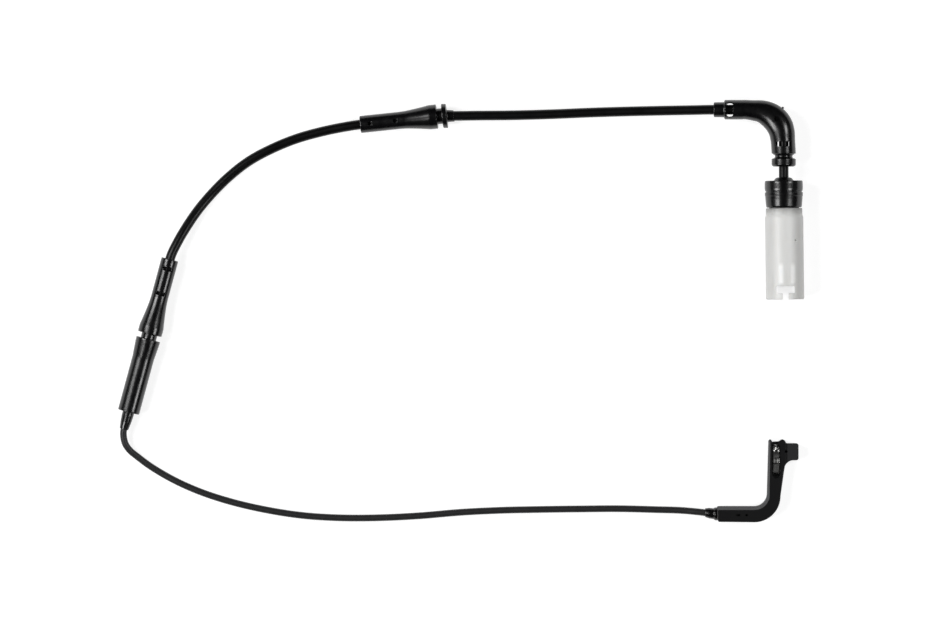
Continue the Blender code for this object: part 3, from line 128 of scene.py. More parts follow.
# Strut grommet and splice sleeve, counted from the thin end
SLEEVE_R = 3.45 * MM
SLEEVE_LENGTH = 16.8 * MM
CONE_LENGTH = 11.2 * MM
RIM_R = 4.9 * MM
GROOVE_START = 30.95 * MM
GROOVE_END = 33.05 * MM
GROOVE_R = 3.15 * MM
FLANGE_END = 34.9 * MM
NECK_R = 2.5 * MM
NECK_END = 37.7 * MM
NECK_LEAN = 0.1
SPLICE_R = 4.38 * MM
SPLICE_BACK = 63.35 * MM
SPLICE_TAPER = 8.0 * MM
TAIL_R = 2.35 * MM
TAIL_TIP_R = 1.75 * MM
TAIL_END = 70.45 * MM
CHAMBER_R = 2.9 * MM
CHAMBER_START = 40.05 * MM
CHAMBER_END = 54.05 * MM
PIN_MARKS = (4.0 * MM, 14.2 * MM)
PIN_MARK_LENGTH = 1.6 * MM
PIN_MARK_TOP = 12.0 * MM

# Head, counted from the middle of the end where the cable enters, with its boot and clip
HEAD_X = 102.8 * MM
HEAD_Y = -81.1 * MM
HEAD_THICKNESS = 6.4 * MM
HEAD_CABLE_Z = 3.0 * MM
CABLE_IN_HEAD = 6.0 * MM
HALF_LEG = 3.15 * MM
LEG_LENGTH = 14.8 * MM
INNER_BEND_R = 5.1 * MM
OUTER_BEND_R = 10.5 * MM
UPRIGHT_LENGTH = 22.3 * MM
UPRIGHT_LEAN = 1.5 * MM
TAB_REACH = 5.7 * MM
TAB_WIDTH = 6.8 * MM
TAB_STEP = 0.6 * MM
TAB_CORNER_R = 0.9 * MM
TAB_FILLET_R = 3.7 * MM
CHANNEL_WIDTH = 3.2 * MM
CHANNEL_DEPTH = 1.5 * MM
CHANNEL_LENGTH = 14.2 * MM
CHAMFER = 1.5 * MM
EDGE_ROUND = 0.3 * MM
BOOT_R = 2.15 * MM
BOOT_FLARE_R = 2.6 * MM
BOOT_TIP_R = 1.75 * MM
BOOT_LENGTH = 4.8 * MM
BOOT_ROOT = 0.7 * MM
BOOT_LEAN = 0.12
BOOT_PLUG_R = 1.9 * MM
BOOT_PLUG_LENGTH = 2.5 * MM
BOOT_ROOM = 0.3 * MM
HEAD_PIN_R = 0.6 * MM
CLIP_THICKNESS = 0.35 * MM
CLIP_ROOM = 0.3 * MM

# Cable routes, in millimetres
ELBOW_TO_STRUT = [
    (92.0, 80.45, 4.7), (80.0, 80.25, 3.5), (66.0, 79.95, 2.4), (52.0, 79.52, 1.97),
    (36.0, 78.85, 2.4), (20.0, 78.40, 3.6), (8.0, 78.28, 4.6),
]
STRUT_TO_SPLICE = [
    (-46.4, 73.75, 3.05), (-56.0, 71.75, 2.4), (-65.6, 69.05, 2.0), (-75.2, 65.15, 1.97),
    (-84.8, 59.95, 1.97), (-92.6, 53.85, 1.97), (-99.8, 46.65, 2.2), (-105.1, 40.25, 3.1),
    (-109.4, 33.9, 4.4), (-112.7, 28.3, 5.2),
]
SPLICE_TO_HEAD = [
    (-134.7, -50.2, 3.7), (-133.9, -53.3, 3.2), (-132.1, -55.8, 2.7), (-129.2, -58.2, 2.2),
    (-125.0, -61.4, 1.7), (-120.0, -64.6, 1.4), (-113.6, -68.1, 1.38), (-104.0, -72.3, 1.38),
    (-92.0, -76.2, 1.38), (-78.0, -79.45, 1.38), (-64.0, -81.65, 1.38), (-48.0, -82.7, 1.38),
    (-32.0, -82.65, 1.38), (-16.0, -81.85, 1.38), (0.0, -80.5, 1.38), (16.0, -79.7, 1.38),
    (32.0, -79.35, 1.38), (48.0, -79.15, 1.38), (64.0, -79.05, 1.38), (78.0, -79.4, 1.45),
    (89.0, -79.75, 2.1),
]


def frame_at(origin, along, up=Vector((0.0, 0.0, 1.0))):
    """A frame at origin whose own Z runs along and whose own Y points as near to up as it can."""
    z = Vector(along).normalized()
    y = (up - up.dot(z) * z).normalized()
    x = y.cross(z)
    return Matrix.Translation(origin) @ Matrix((x, y, z)).transposed().to_4x4()


def lying_frame(x, y, heading, first, second):
    """The frame of a turned piece that lies on two rims, each given as (distance, radius)."""
    tilt = math.atan2(second[1] - first[1], second[0] - first[0])
    height = first[1] * math.cos(tilt) - first[0] * math.sin(tilt)
    flat = math.cos(tilt)
    along = (math.cos(heading) * flat, math.sin(heading) * flat, math.sin(tilt))
    return frame_at(Vector((x, y, height)), along)


PLUG = frame_at(
    Vector((PLUG_X + SEAL_TOP * math.sin(PLUG_TURN), MOUTH_Y, SHELL_R)),
    (-math.sin(PLUG_TURN), math.cos(PLUG_TURN), 0.0),
    Vector((math.sin(PLUG_CLOCKING), 0.0, math.cos(PLUG_CLOCKING))),
)
ELBOW = Matrix.Translation((PLUG_X, 0.0, SHELL_R)) @ Matrix.Rotation(-ELBOW_ROLL, 4, "Y")
STRUT = lying_frame(
    -40.0 * MM,
    74.72 * MM,
    math.radians(5.9),
    (0.5 * MM, SLEEVE_R),
    (SLEEVE_LENGTH + CONE_LENGTH, RIM_R),
)
SPLICE = lying_frame(
    -116.1 * MM,
    20.8 * MM,
    math.radians(-105.2),
    (GROOVE_END + 0.8 * MM, RIM_R),
    (SPLICE_BACK - 0.3 * MM, SPLICE_R),
)
HEAD = Matrix.Translation((HEAD_X, HEAD_Y, 0.0))


def elbow_line(distance):
    """The elbow's centre line, by the distance from its collar. Gives (point, direction)."""
    if distance <= ELBOW_LEG:
        return Vector((distance - ELBOW_REACH, ELBOW_LEG_Y, 0.0)), Vector((1.0, 0.0, 0.0))
    if distance <= ELBOW_LEG + ELBOW_BEND:
        angle = (distance - ELBOW_LEG) / ELBOW_BEND_R
        x = -ELBOW_BEND_R + ELBOW_BEND_R * math.sin(angle)
        y = ELBOW_LEG_Y - ELBOW_BEND_R + ELBOW_BEND_R * math.cos(angle)
        return Vector((x, y, 0.0)), Vector((math.cos(angle), -math.sin(angle), 0.0))
    rest = distance - ELBOW_LEG - ELBOW_BEND
    return Vector((0.0, ELBOW_LEG_Y - ELBOW_BEND_R - rest, 0.0)), Vector((0.0, -1.0, 0.0))


# Camera, straight above and far off, so that the view hardly narrows with height
def make_camera():
    camera = bpy.data.objects.new("camera", bpy.data.cameras.new("camera"))
    bpy.context.scene.collection.objects.link(camera)
    camera.location = (VIEW_X, VIEW_Y, CAMERA_HEIGHT)
    camera.data.sensor_width = SENSOR_WIDTH
    camera.data.lens = SENSOR_WIDTH * (CAMERA_HEIGHT - VIEW_LEVEL) / VIEW_WIDTH
    camera.data.clip_start = 0.1
    camera.data.clip_end = 50.0
    bpy.context.scene.camera = camera


make_camera()


# Meshes
def add_mesh(name, points, faces, place=Matrix.Identity(4)):
    mesh = bpy.data.meshes.new(name)
    mesh.from_pydata([tuple(point) for point in points], [], faces)
    mesh.update()
    piece = bpy.data.objects.new(name, mesh)
    bpy.context.scene.collection.objects.link(piece)
    piece.matrix_world = place
    return piece


def rounded(corners):
    """A closed outline with its corners rounded. Each corner is (x, y) or (x, y, radius)."""
    outline = []
    count, steps = len(corners), 4
    for i, corner in enumerate(corners):
        here = Vector(corner[:2])
        radius = corner[2] if len(corner) > 2 else 0.0
        before = Vector(corners[i - 1][:2]) - here
        after = Vector(corners[(i + 1) % count][:2]) - here
        turn = math.pi - before.angle(after)
        if radius <= 0.0 or turn < 0.01:
            outline.append(tuple(here))
            continue
        reach = radius * math.tan(turn / 2)
        reach = min(reach, 0.48 * before.length, 0.48 * after.length)
        start = here + before.normalized() * reach
        end = here + after.normalized() * reach
        for k in range(steps + 1):
            t = k / steps
            point = start * (1 - t) ** 2 + here * (2 * t * (1 - t)) + end * t**2
            outline.append(tuple(point))
    return outline


def through(knots, steps):
    """A smooth run of values through the knots, each a tuple of numbers."""
    fine = []
    for i in range(len(knots) - 1):
        before, start = knots[max(i - 1, 0)], knots[i]
        end, after = knots[i + 1], knots[min(i + 2, len(knots) - 1)]
        for k in range(steps):
            t = k / steps
            fine.append(tuple(
                0.5 * (2 * b + (c - a) * t + (2 * a - 5 * b + 4 * c - d) * t**2
                + (3 * b - a - 3 * c + d) * t**3)
                for a, b, c, d in zip(before, start, end, after)
            ))
    fine.append(knots[-1])
    return fine


def divided(outline, longest):
    """The closed outline with its long sides divided, so that a cut leaves no long thin faces."""
    fine = []
    for i, start in enumerate(outline):
        end = outline[(i + 1) % len(outline)]
        steps = max(1, math.ceil(math.dist(start, end) / longest))
        for k in range(steps):
            t = k / steps
            fine.append((start[0] + (end[0] - start[0]) * t, start[1] + (end[1] - start[1]) * t))
    return fine


def turned(name, corners, place, around):
    """A ring turned about its own Z from a closed outline of (radius, height, rounding)."""
    outline = divided(rounded(corners), FACE_LENGTH)
    count = len(outline)
    points, faces = [], []
    for k in range(around):
        angle = 2 * math.pi * k / around
        for radius, height in outline:
            points.append((radius * math.cos(angle), radius * math.sin(angle), height))
    for k in range(around):
        a, b = k * count, ((k + 1) % around) * count
        for i in range(count):
            j = (i + 1) % count
            faces.append([a + i, b + i, b + j, a + j])
    return outward(add_mesh(name, points, faces, place))


def outward(piece):
    """Joins points that coincide and turns every face outwards."""
    bm = bmesh.new()
    bm.from_mesh(piece.data)
    bmesh.ops.remove_doubles(bm, verts=bm.verts, dist=0.0000005)
    bmesh.ops.recalc_face_normals(bm, faces=bm.faces)
    bm.to_mesh(piece.data)
    bm.free()
    return piece


def column(outline, low, high, place=Matrix.Identity(4)):
    """A cutter: the outline drawn along its own Z from low to high."""
    count = len(outline)
    points = [(x, y, low) for x, y in outline] + [(x, y, high) for x, y in outline]
    faces = [list(range(count))[::-1], list(range(count, 2 * count))]
    for i in range(count):
        j = (i + 1) % count
        faces.append([i, j, count + j, count + i])
    return outward(add_mesh("cutter", points, faces, place))


def circle(radius, steps=32, x=0.0, y=0.0):
    return [
        (
            x + radius * math.cos(2 * math.pi * k / steps),
            y + radius * math.sin(2 * math.pi * k / steps),
        )
        for k in range(steps)
    ]


def block(x0, x1, y0, y1, radius=0.0):
    """A rectangle's outline, with its corners rounded."""
    return rounded([(x0, y0, radius), (x1, y0, radius), (x1, y1, radius), (x0, y1, radius)])


def settle(piece):
    """Keeps the mesh that the modifiers give."""
    graph = bpy.context.evaluated_depsgraph_get()
    graph.update()
    mesh = bpy.data.meshes.new_from_object(piece.evaluated_get(graph))
    mesh.name = piece.name
    piece.modifiers.clear()
    piece.data = mesh
    return piece


def cut(piece, cutters):
    """Takes the cutters out of the piece and removes them."""
    for cutter in cutters:
        step = piece.modifiers.new("cut", "BOOLEAN")
        step.operation = "DIFFERENCE"
        step.solver = "EXACT"
        step.object = cutter
    settle(piece)
    for cutter in cutters:
        bpy.data.objects.remove(cutter, do_unlink=True)
    return piece


def join(piece, other):
    """Adds a closed body to the piece's mesh."""
    bm = bmesh.new()
    bm.from_mesh(piece.data)
    mesh = other.data.copy()
    mesh.transform(piece.matrix_world.inverted() @ other.matrix_world)
    bm.from_mesh(mesh)
    bpy.data.meshes.remove(mesh)
    bpy.data.objects.remove(other, do_unlink=True)
    bm.to_mesh(piece.data)
    bm.free()
    return piece


def soften(piece, width):
    """Rounds the edges that the cutters left and shades the rest smooth."""
    return level_shading(ease_edges(piece, width))


def ease_edges(piece, width, least=50.0):
    """Rounds every edge that turns by at least this many degrees."""
    bm = bmesh.new()
    bm.from_mesh(piece.data)
    bmesh.ops.remove_doubles(bm, verts=bm.verts, dist=0.000002)
    bmesh.ops.dissolve_degenerate(bm, edges=bm.edges, dist=0.000001)
    bm.to_mesh(piece.data)
    bm.free()
    edges = piece.modifiers.new("edges", "BEVEL")
    edges.limit_method = "ANGLE"
    edges.angle_limit = math.radians(least)
    edges.width = width
    edges.segments = 2
    edges.use_clamp_overlap = True
    return settle(piece)


def level_shading(piece):
    """Shades the piece smooth, with its large faces kept flat."""
    smooth(piece)
    flats = piece.modifiers.new("flats", "WEIGHTED_NORMAL")
    flats.keep_sharp = True
    return settle(piece)


def smooth(piece, sharp=38.0):
    piece.data.shade_smooth()
    piece.data.set_sharp_from_angle(angle=math.radians(sharp))
    return piece


# Cables
def smooth_line(points, headings):
    """One smooth line through the points. headings gives its direction at some, by index."""
    chords = [points[i + 1] - points[i] for i in range(len(points) - 1)]
    lengths = [chord.length for chord in chords]
    ways = []
    for i in range(len(points)):
        if i in headings:
            ways.append(headings[i].normalized())
            continue
        before, after = lengths[i - 1], lengths[i]
        way = chords[i - 1] * (after / before) + chords[i] * (before / after)
        ways.append(way.normalized())
    line = [points[0]]
    for i, length in enumerate(lengths):
        start, end = points[i], points[i + 1]
        first = start + ways[i] * (length / 3)
        second = end - ways[i + 1] * (length / 3)
        steps = max(3, round(length / CABLE_STEP))
        for k in range(1, steps + 1):
            t = k / steps
            u = 1 - t
            leaving = start * u**3 + first * (3 * t * u * u)
            line.append(leaving + second * (3 * t * t * u) + end * t**3)
    return line


def sheath(name, line, radius):
    """A solid round tube along the line. V runs along it and U round it from its underside."""
    around = 32
    up = Vector((0.0, 0.0, 1.0))
    points, faces, spots = [], [], []
    far = 0.0
    for i, middle in enumerate(line):
        before, after = line[max(i - 1, 0)], line[min(i + 1, len(line) - 1)]
        heading = (after - before).normalized()
        side = up.cross(heading).normalized()
        rise = heading.cross(side)
        if i > 0:
            far += (middle - line[i - 1]).length
        for k in range(around + 1):
            angle = 2 * math.pi * k / around
            if k < around:
                points.append(middle + (side * math.sin(angle) - rise * math.cos(angle)) * radius)
            spots.append((k / around, far / (2 * math.pi * radius)))
    for i in range(len(line) - 1):
        for k in range(around):
            j = (k + 1) % around
            a, b = i * around, (i + 1) * around
            faces.append([a + k, b + k, b + j, a + j])
    faces.append(list(range(around)))
    faces.append(list(range(len(points) - around, len(points)))[::-1])
    cable = outward(add_mesh(name, points, faces))
    layer = cable.data.uv_layers.new(name="round_and_along")
    for face in cable.data.polygons:
        if len(face.vertices) != 4:
            continue
        columns = [index % around for index in face.vertices]
        wraps = 0 in columns and around - 1 in columns
        for corner, index in zip(face.loop_indices, face.vertices):
            column_index = index % around
            if wraps and column_index == 0:
                column_index = around
            layer.data[corner].uv = spots[(index // around) * (around + 1) + column_index]
    return smooth(cable, 60.0)


def in_mm(route):
    return [Vector(point) * MM for point in route]


def main_cable_line():
    """From inside the plug through the elbow and the strut grommet into the splice sleeve."""
    points = [PLUG @ Vector((0.0, 0.0, CABLE_END))]
    headings = {0: PLUG.to_3x3() @ Vector((0.0, 0.0, 1.0))}
    marks = [ELBOW_LENGTH] + [ELBOW_LEG + ELBOW_BEND * (1 - k / 6) for k in range(7)] + [0.0]
    roll = ELBOW.to_3x3()
    for mark in marks:
        point, heading = elbow_line(mark)
        headings[len(points)] = roll @ -heading
        points.append(ELBOW @ point)
    points += in_mm(ELBOW_TO_STRUT)
    way = STRUT.to_3x3()
    for distance, slope in (
        (NECK_END, NECK_LEAN),
        (GROOVE_END, NECK_LEAN / 2),
        (GROOVE_END - 3 * MM, 0.0),
        (0.0, 0.0),
    ):
        aside = -NECK_LEAN * max(0.0, distance - GROOVE_END)
        headings[len(points)] = way @ Vector((slope, 0.0, -1.0))
        points.append(STRUT @ Vector((aside, 0.0, distance)))
    points += in_mm(STRUT_TO_SPLICE)
    onward = SPLICE.to_3x3() @ Vector((0.0, 0.0, 1.0))
    for distance in (0.0, CHAMBER_START):
        headings[len(points)] = onward
        points.append(SPLICE @ Vector((0.0, 0.0, distance)))
    return smooth_line(points, headings)


def thin_cable_line():
    """From inside the splice sleeve through its tail to the head."""
    onward = SPLICE.to_3x3() @ Vector((0.0, 0.0, 1.0))
    points, headings = [], {}
    for distance in (CHAMBER_END, TAIL_END):
        headings[len(points)] = onward
        points.append(SPLICE @ Vector((0.0, 0.0, distance)))
    points += in_mm(SPLICE_TO_HEAD)
    for distance, slope in (
        (-BOOT_LENGTH, BOOT_LEAN),
        (-BOOT_ROOT, BOOT_LEAN / 2),
        (CABLE_IN_HEAD, 0.0),
    ):
        aside = BOOT_LEAN * max(0.0, -BOOT_ROOT - distance)
        headings[len(points)] = Vector((1.0, -slope, 0.0))
        points.append(Vector((HEAD_X + distance, HEAD_Y + aside, HEAD_CABLE_Z)))
    return smooth_line(points, headings)


def lean(piece, start, slope, way):
    """Tilts the end of a turned piece beyond start, along its own X. way is 1 or -1 along own Z."""
    for vertex in piece.data.vertices:
        beyond = (vertex.co.z - start) * way
        if beyond > 0:
            vertex.co.x += slope * beyond
    return piece


# Plug
def make_shell():
    """Injection moulded, open at the mouth, with a cut-out and a slot above and below."""
    neck = SHELL_R - SHELL_NECK_DROP
    lead = SHELL_LENGTH - SHELL_NECK_LENGTH
    corners = [
        (SPIGOT_R, SPIGOT_END, 0.3 * MM),
        (SPIGOT_R, SHELL_LENGTH, 0.1 * MM),
        (neck, SHELL_LENGTH, 0.35 * MM),
        (neck, lead, 1.0 * MM),
        (SHELL_R, lead - 1.2 * MM, 1.0 * MM),
        (SHELL_R, 0.0, 0.35 * MM),
        (SHELL_BORE_R, 0.0, 0.4 * MM),
        (SHELL_BORE_R, SHOULDER),
        (SPIGOT_BORE_R, SHOULDER, 0.2 * MM),
        (SPIGOT_BORE_R, SPIGOT_END, 0.2 * MM),
    ]
    shell = turned("shell_moulding", corners, PLUG, 128)
    across = 2 * SHELL_R
    turn = Matrix.Rotation(math.radians(-90.0), 4, "X")
    low, high = WINDOW_FROM_MOUTH, WINDOW_FROM_MOUTH + WINDOW_LENGTH
    # Those of the lower wall are wider, so that from above they leave the table in view
    for aside, wider, start, end in ((0.3 * MM, 0.0, 0.0, across), (0.0, 1.1 * MM, -across, 0.0)):
        half = WINDOW_WIDTH / 2 - 0.1 * MM + wider
        window = block(aside - half, aside + half, -high, -low, 0.25 * MM)
        half = SLOT_WIDTH / 2 + 0.2 * MM + wider
        slot = block(aside - half, aside + half, -low - MM, MM)
        cut(shell, [column(outline, start, end, PLUG @ turn) for outline in (window, slot)])
    gate = PLUG @ Matrix.Rotation(GATE_TURN, 4, "Z")
    gate = gate @ Matrix.Translation((0.0, SHELL_R, GATE_FROM_MOUTH)) @ turn
    cut(shell, [column(circle(GATE_R, 20), -0.7 * MM, MM, gate)])
    return soften(shell, 0.12 * MM)


def make_rear_seal():
    """Rubber boot over the spigot, closed on the cable, with two ribs and a low dome."""
    groove = SEAL_TOP - 4.1 * MM
    low = groove - 0.6 * MM
    band = low - 1.5 * MM
    bore = CABLE_R + GRIP
    room = SPIGOT_R + 0.3 * MM
    corners = [
        (bore, SEAL_END, 0.15 * MM),
        (SEAL_DOME_R - 0.7 * MM, SEAL_END - 0.3 * MM, 0.9 * MM),
        (SEAL_DOME_R, SEAL_TOP + 0.2 * MM, 0.3 * MM),
        (SEAL_DOME_R + 0.3 * MM, SEAL_TOP, 0.2 * MM),
        (SEAL_R - SEAL_RIB_CONE, SEAL_TOP, 0.3 * MM),
        (SEAL_R, SEAL_TOP - 1.0 * MM, 0.5 * MM),
        (SEAL_R, groove + 1.0 * MM, 0.5 * MM),
        (SEAL_R - SEAL_RIB_CONE, groove, 0.2 * MM),
        (SEAL_GROOVE_R, groove - 0.1 * MM, 0.1 * MM),
        (SEAL_GROOVE_R, low + 0.1 * MM, 0.1 * MM),
        (SEAL_R, low, 0.3 * MM),
        (SEAL_R, band + 0.2 * MM, 0.25 * MM),
        (SEAL_R - 0.16 * MM, band, 0.2 * MM),
        (SEAL_R - 0.23 * MM, SEAL_START + 3.2 * MM, 1.5 * MM),
        (SEAL_R - 0.45 * MM, SEAL_START + 0.7 * MM, 0.8 * MM),
        (SEAL_R - 0.65 * MM, SEAL_START, 0.15 * MM),
        (room, SEAL_START),
        (room, SEAL_FLOOR),
        (bore, SEAL_FLOOR),
    ]
    return smooth(turned("rear_seal_rubber", corners, PLUG, 128))


# Elbow
def elbow_cutter(outline, distance, low, high=CUT_PAST):
    """An upright cutter, own X along the cable and own Y towards the bend's outside."""
    point, heading = elbow_line(distance)
    side = Vector((0.0, 0.0, 1.0)).cross(heading)
    turn = Matrix((heading, side, Vector((0.0, 0.0, 1.0)))).transposed().to_4x4()
    return column(outline, low, high, ELBOW @ Matrix.Translation(point) @ turn)


def elbow_stations():
    """From collar to flange: (distance, half width in the bend's plane, half height, web).

    web is how far the section lies towards the inside of the bend.
    """
    leg, bend, total = ELBOW_LEG, ELBOW_BEND, ELBOW_LENGTH
    thin, thick, web = ELBOW_THIN_R, ELBOW_THICK_R, ELBOW_WEB
    more, rise = ELBOW_SWELL_R - thin, thick - thin
    groove = total - ELBOW_FLANGE_LENGTH - ELBOW_GROOVE_WIDTH / 2
    half = ELBOW_GROOVE_WIDTH / 2
    swell = [
        (leg - 6.0 * MM, thin, thin, 0.0),
        (leg - 4.0 * MM, thin, thin, 0.0),
        (leg, thin + 0.235 * more, thin + 0.1 * MM, 0.68 * web),
        (leg + bend * 0.25, thin + 0.683 * more, thin + 0.3 * rise, web),
        (leg + bend * 0.375, thin + 0.855 * more, thin + 0.45 * rise, web),
        (leg + bend * 0.5, thin + 0.972 * more, thin + 0.6 * rise, 0.96 * web),
        (leg + bend * 0.625, thin + more, thin + 0.72 * rise, 0.9 * web),
        (leg + bend * 0.75, thin + 0.972 * more, thin + 0.82 * rise, 0.87 * web),
        (leg + bend * 0.875, thin + 0.862 * more, thin + 0.9 * rise, 0.84 * web),
        (leg + bend, thick + 0.18 * MM, thick - 0.08 * MM, 0.72 * web),
        (leg + bend + 2.4 * MM, thick + 0.02 * MM, thick - 0.03 * MM, 0.36 * web),
        (groove - half - 0.3 * MM, thick, thick, 0.0),
    ]
    stations = []

    def ring(distance, wide):
        stations.append((distance, wide, wide, 0.0))

    def climb(start, wide, radius, steps):
        """A quarter round that climbs to wide, from start on."""
        for k in range(steps + 1):
            a = math.radians(90 * k / steps)
            ring(start + radius * (1 - math.cos(a)), wide - radius * (1 - math.sin(a)))

    climb(0.0, COLLAR_R, 0.35 * MM, 4)
    ring(COLLAR_LENGTH - 0.5 * MM, COLLAR_R + 0.05 * MM)
    ring(COLLAR_LENGTH - 0.1 * MM, COLLAR_R + 0.12 * MM)
    ring(COLLAR_LENGTH, COLLAR_R + 0.3 * MM)
    step = 0.5 * MM
    climb(COLLAR_LENGTH, thin, step, 4)
    straight = swell[0][0] - COLLAR_LENGTH - step
    for k in range(1, 12):
        ring(COLLAR_LENGTH + step + straight * k / 12, thin)
    stations += through(swell, 10)
    lip = 0.3 * MM
    for k in range(4):
        a = math.radians(90 * (3 - k) / 3)
        ring(groove - half - lip * math.cos(a) + 0.05 * MM, thick - lip * (1 - math.sin(a)))
    floor_round = 0.75 * MM
    for k in range(9):
        a = math.radians(180 * k / 8)
        ring(groove - floor_round * math.cos(a), ELBOW_GROOVE_R + floor_round * (1 - math.sin(a)))
    climb(groove + half - lip, thick, lip, 3)
    edge = 1.1 * MM
    ring(total - edge, thick)
    for k in range(1, 7):
        a = math.radians(90 * k / 6)
        ring(total - edge + edge * math.sin(a), thick - edge * (1 - math.cos(a)))
    return stations


def make_elbow():
    """Rubber moulded round the cable. The core pins that held the cable left the windows."""
    around = 80
    up = Vector((0.0, 0.0, 1.0))
    points, faces = [], []
    stations = elbow_stations()
    for distance, wide, high, web in stations:
        middle, heading = elbow_line(distance)
        side = up.cross(heading)
        middle = middle - side * web
        for k in range(around):
            angle = 2 * math.pi * k / around
            points.append(middle + side * wide * math.cos(angle) + up * high * math.sin(angle))
    bore_rings = 72
    bore = CABLE_R + GRIP
    for ring in range(bore_rings, -1, -1):
        middle, heading = elbow_line(ELBOW_LENGTH * ring / bore_rings)
        side = up.cross(heading)
        for k in range(around):
            angle = 2 * math.pi * k / around
            points.append(middle + (side * math.cos(angle) + up * math.sin(angle)) * bore)
    rows = len(stations) + bore_rings + 1
    for row in range(rows):
        for k in range(around):
            a, b = row * around, ((row + 1) % rows) * around
            j = (k + 1) % around
            faces.append([a + k, a + j, b + j, b + k])
    elbow = outward(add_mesh("elbow_rubber", points, faces, ELBOW))
    by_flange = ELBOW_LENGTH - FLANGE_WINDOW
    collar_window = block(-1.45 * MM, 1.45 * MM, -3.05 * MM, 3.05 * MM, 1.3 * MM)
    collar_opening = block(-1.35 * MM, 1.35 * MM, -2.75 * MM, 2.6 * MM, 1.2 * MM)
    flange_window = block(-1.05 * MM, 1.05 * MM, -3.2 * MM, 3.2 * MM, 0.4 * MM)
    # The lower pins were narrower, and hardly came through on the outer side of the bend
    flange_opening = block(-1.0 * MM, 1.0 * MM, -2.5 * MM, 2.08 * MM, 0.4 * MM)
    cut(elbow, [
        elbow_cutter(collar_window, COLLAR_WINDOW, 0.0),
        elbow_cutter(collar_opening, COLLAR_WINDOW, -CUT_PAST, 0.1 * MM),
        elbow_cutter(flange_window, by_flange, 0.0),
        elbow_cutter(flange_opening, by_flange, -CUT_PAST, 0.1 * MM),
        elbow_cutter(circle(ELBOW_PIN_R), ELBOW_LEG + ELBOW_BEND * 0.54, ELBOW_THIN_R - 0.5 * MM),
    ])
    soften(elbow, 0.1 * MM)
    return join(elbow, gate_stub(ELBOW_LEG + ELBOW_BEND * 0.47))


def gate_stub(distance):
    """The trimmed stub of the gate, on the outer side of the bend."""
    point, heading = elbow_line(distance)
    out = Vector((0.0, 0.0, 1.0)).cross(heading)
    place = ELBOW @ frame_at(point + out * (ELBOW_THICK_R - 0.5 * MM), out)
    core, foot, tip, height = 0.02 * MM, 0.5 * MM, 0.42 * MM, 0.85 * MM
    corners = [(core, height), (tip, height, 0.15 * MM), (foot, 0.0), (core, 0.0)]
    return smooth(turned("stub", corners, place, 20))


# Grommets
def sleeve_corners():
    """The shared nose, from the groove's floor to the thin end."""
    cone_end = SLEEVE_LENGTH + CONE_LENGTH
    grow = RIM_R - SLEEVE_R
    corners = [
        (GROOVE_R, GROOVE_START, 0.15 * MM),
        (RIM_R, GROOVE_START, 0.3 * MM),
        (RIM_R, cone_end, 1.5 * MM),
    ]
    for k in range(1, 8):
        t = 1 - k / 8
        # A slow start from the sleeve, then nearly straight, and a short shoulder at the rim
        share = t**1.25 * (1.0 - 0.05 * (1 - t))
        corners.append((SLEEVE_R + grow * share, SLEEVE_LENGTH + CONE_LENGTH * t))
    corners += [
        (SLEEVE_R, SLEEVE_LENGTH - 1.0 * MM, 2.0 * MM),
        (SLEEVE_R, 0.0, 0.4 * MM),
        (CABLE_R + GRIP, 0.0, 0.1 * MM),
    ]
    return corners


def pin_marks(place, width):
    """Cutters for the holes that the mould's pins left along the top of the nose."""
    turn = Matrix.Rotation(math.radians(-90.0), 4, "X")
    half, half_length = width / 2, PIN_MARK_LENGTH / 2
    cutters = []
    for distance in PIN_MARKS:
        hole = block(-half, half, -distance - half_length, -distance + half_length, 0.2 * MM)
        cutters.append(column(hole, CABLE_R + 0.1 * MM, PIN_MARK_TOP, place @ turn))
    return cutters


def make_strut_sleeve():
    """Rubber sleeve that snaps into a bracket: long nose, deep groove and one thin flange."""
    corners = [
        (CABLE_R + GRIP, NECK_END, 0.1 * MM),
        (NECK_R - 0.2 * MM, NECK_END, 0.3 * MM),
        (NECK_R, FLANGE_END, 0.4 * MM),
        (RIM_R, FLANGE_END, 0.3 * MM),
        (RIM_R, GROOVE_END, 0.3 * MM),
        (GROOVE_R, GROOVE_END, 0.15 * MM),
        *sleeve_corners(),
    ]
    sleeve = cut(turned("strut_sleeve_rubber", corners, STRUT, 96), pin_marks(STRUT, 1.6 * MM))
    return lean(soften(sleeve, 0.1 * MM), GROOVE_END, -NECK_LEAN, 1)


def make_splice_sleeve():
    """The same nose and groove, continued as the long sleeve that covers both splices."""
    rim = RIM_R - SPLICE_R
    corners = [
        (THIN_R + GRIP, TAIL_END, 0.05 * MM),
        (TAIL_TIP_R, TAIL_END, 0.2 * MM),
        (TAIL_R - 0.2 * MM, SPLICE_BACK + 4.2 * MM, 3.0 * MM),
        (TAIL_R, SPLICE_BACK + 1.5 * MM, 2.0 * MM),
        (TAIL_R, SPLICE_BACK, 0.2 * MM),
        (SPLICE_R, SPLICE_BACK, 0.4 * MM),
        (SPLICE_R, GROOVE_END + SPLICE_TAPER, 6.0 * MM),
        (SPLICE_R + 0.75 * rim, GROOVE_END + 0.35 * SPLICE_TAPER, 3.0 * MM),
        (RIM_R, GROOVE_END + 0.8 * MM, 1.0 * MM),
        (RIM_R, GROOVE_END, 0.3 * MM),
        (GROOVE_R, GROOVE_END, 0.15 * MM),
        *sleeve_corners(),
        (CABLE_R + GRIP, CHAMBER_START),
        (CHAMBER_R, CHAMBER_START),
        (CHAMBER_R, CHAMBER_END),
        (THIN_R + GRIP, CHAMBER_END),
    ]
    sleeve = cut(turned("splice_sleeve_rubber", corners, SPLICE, 96), pin_marks(SPLICE, 3.4 * MM))
    return soften(sleeve, 0.1 * MM)


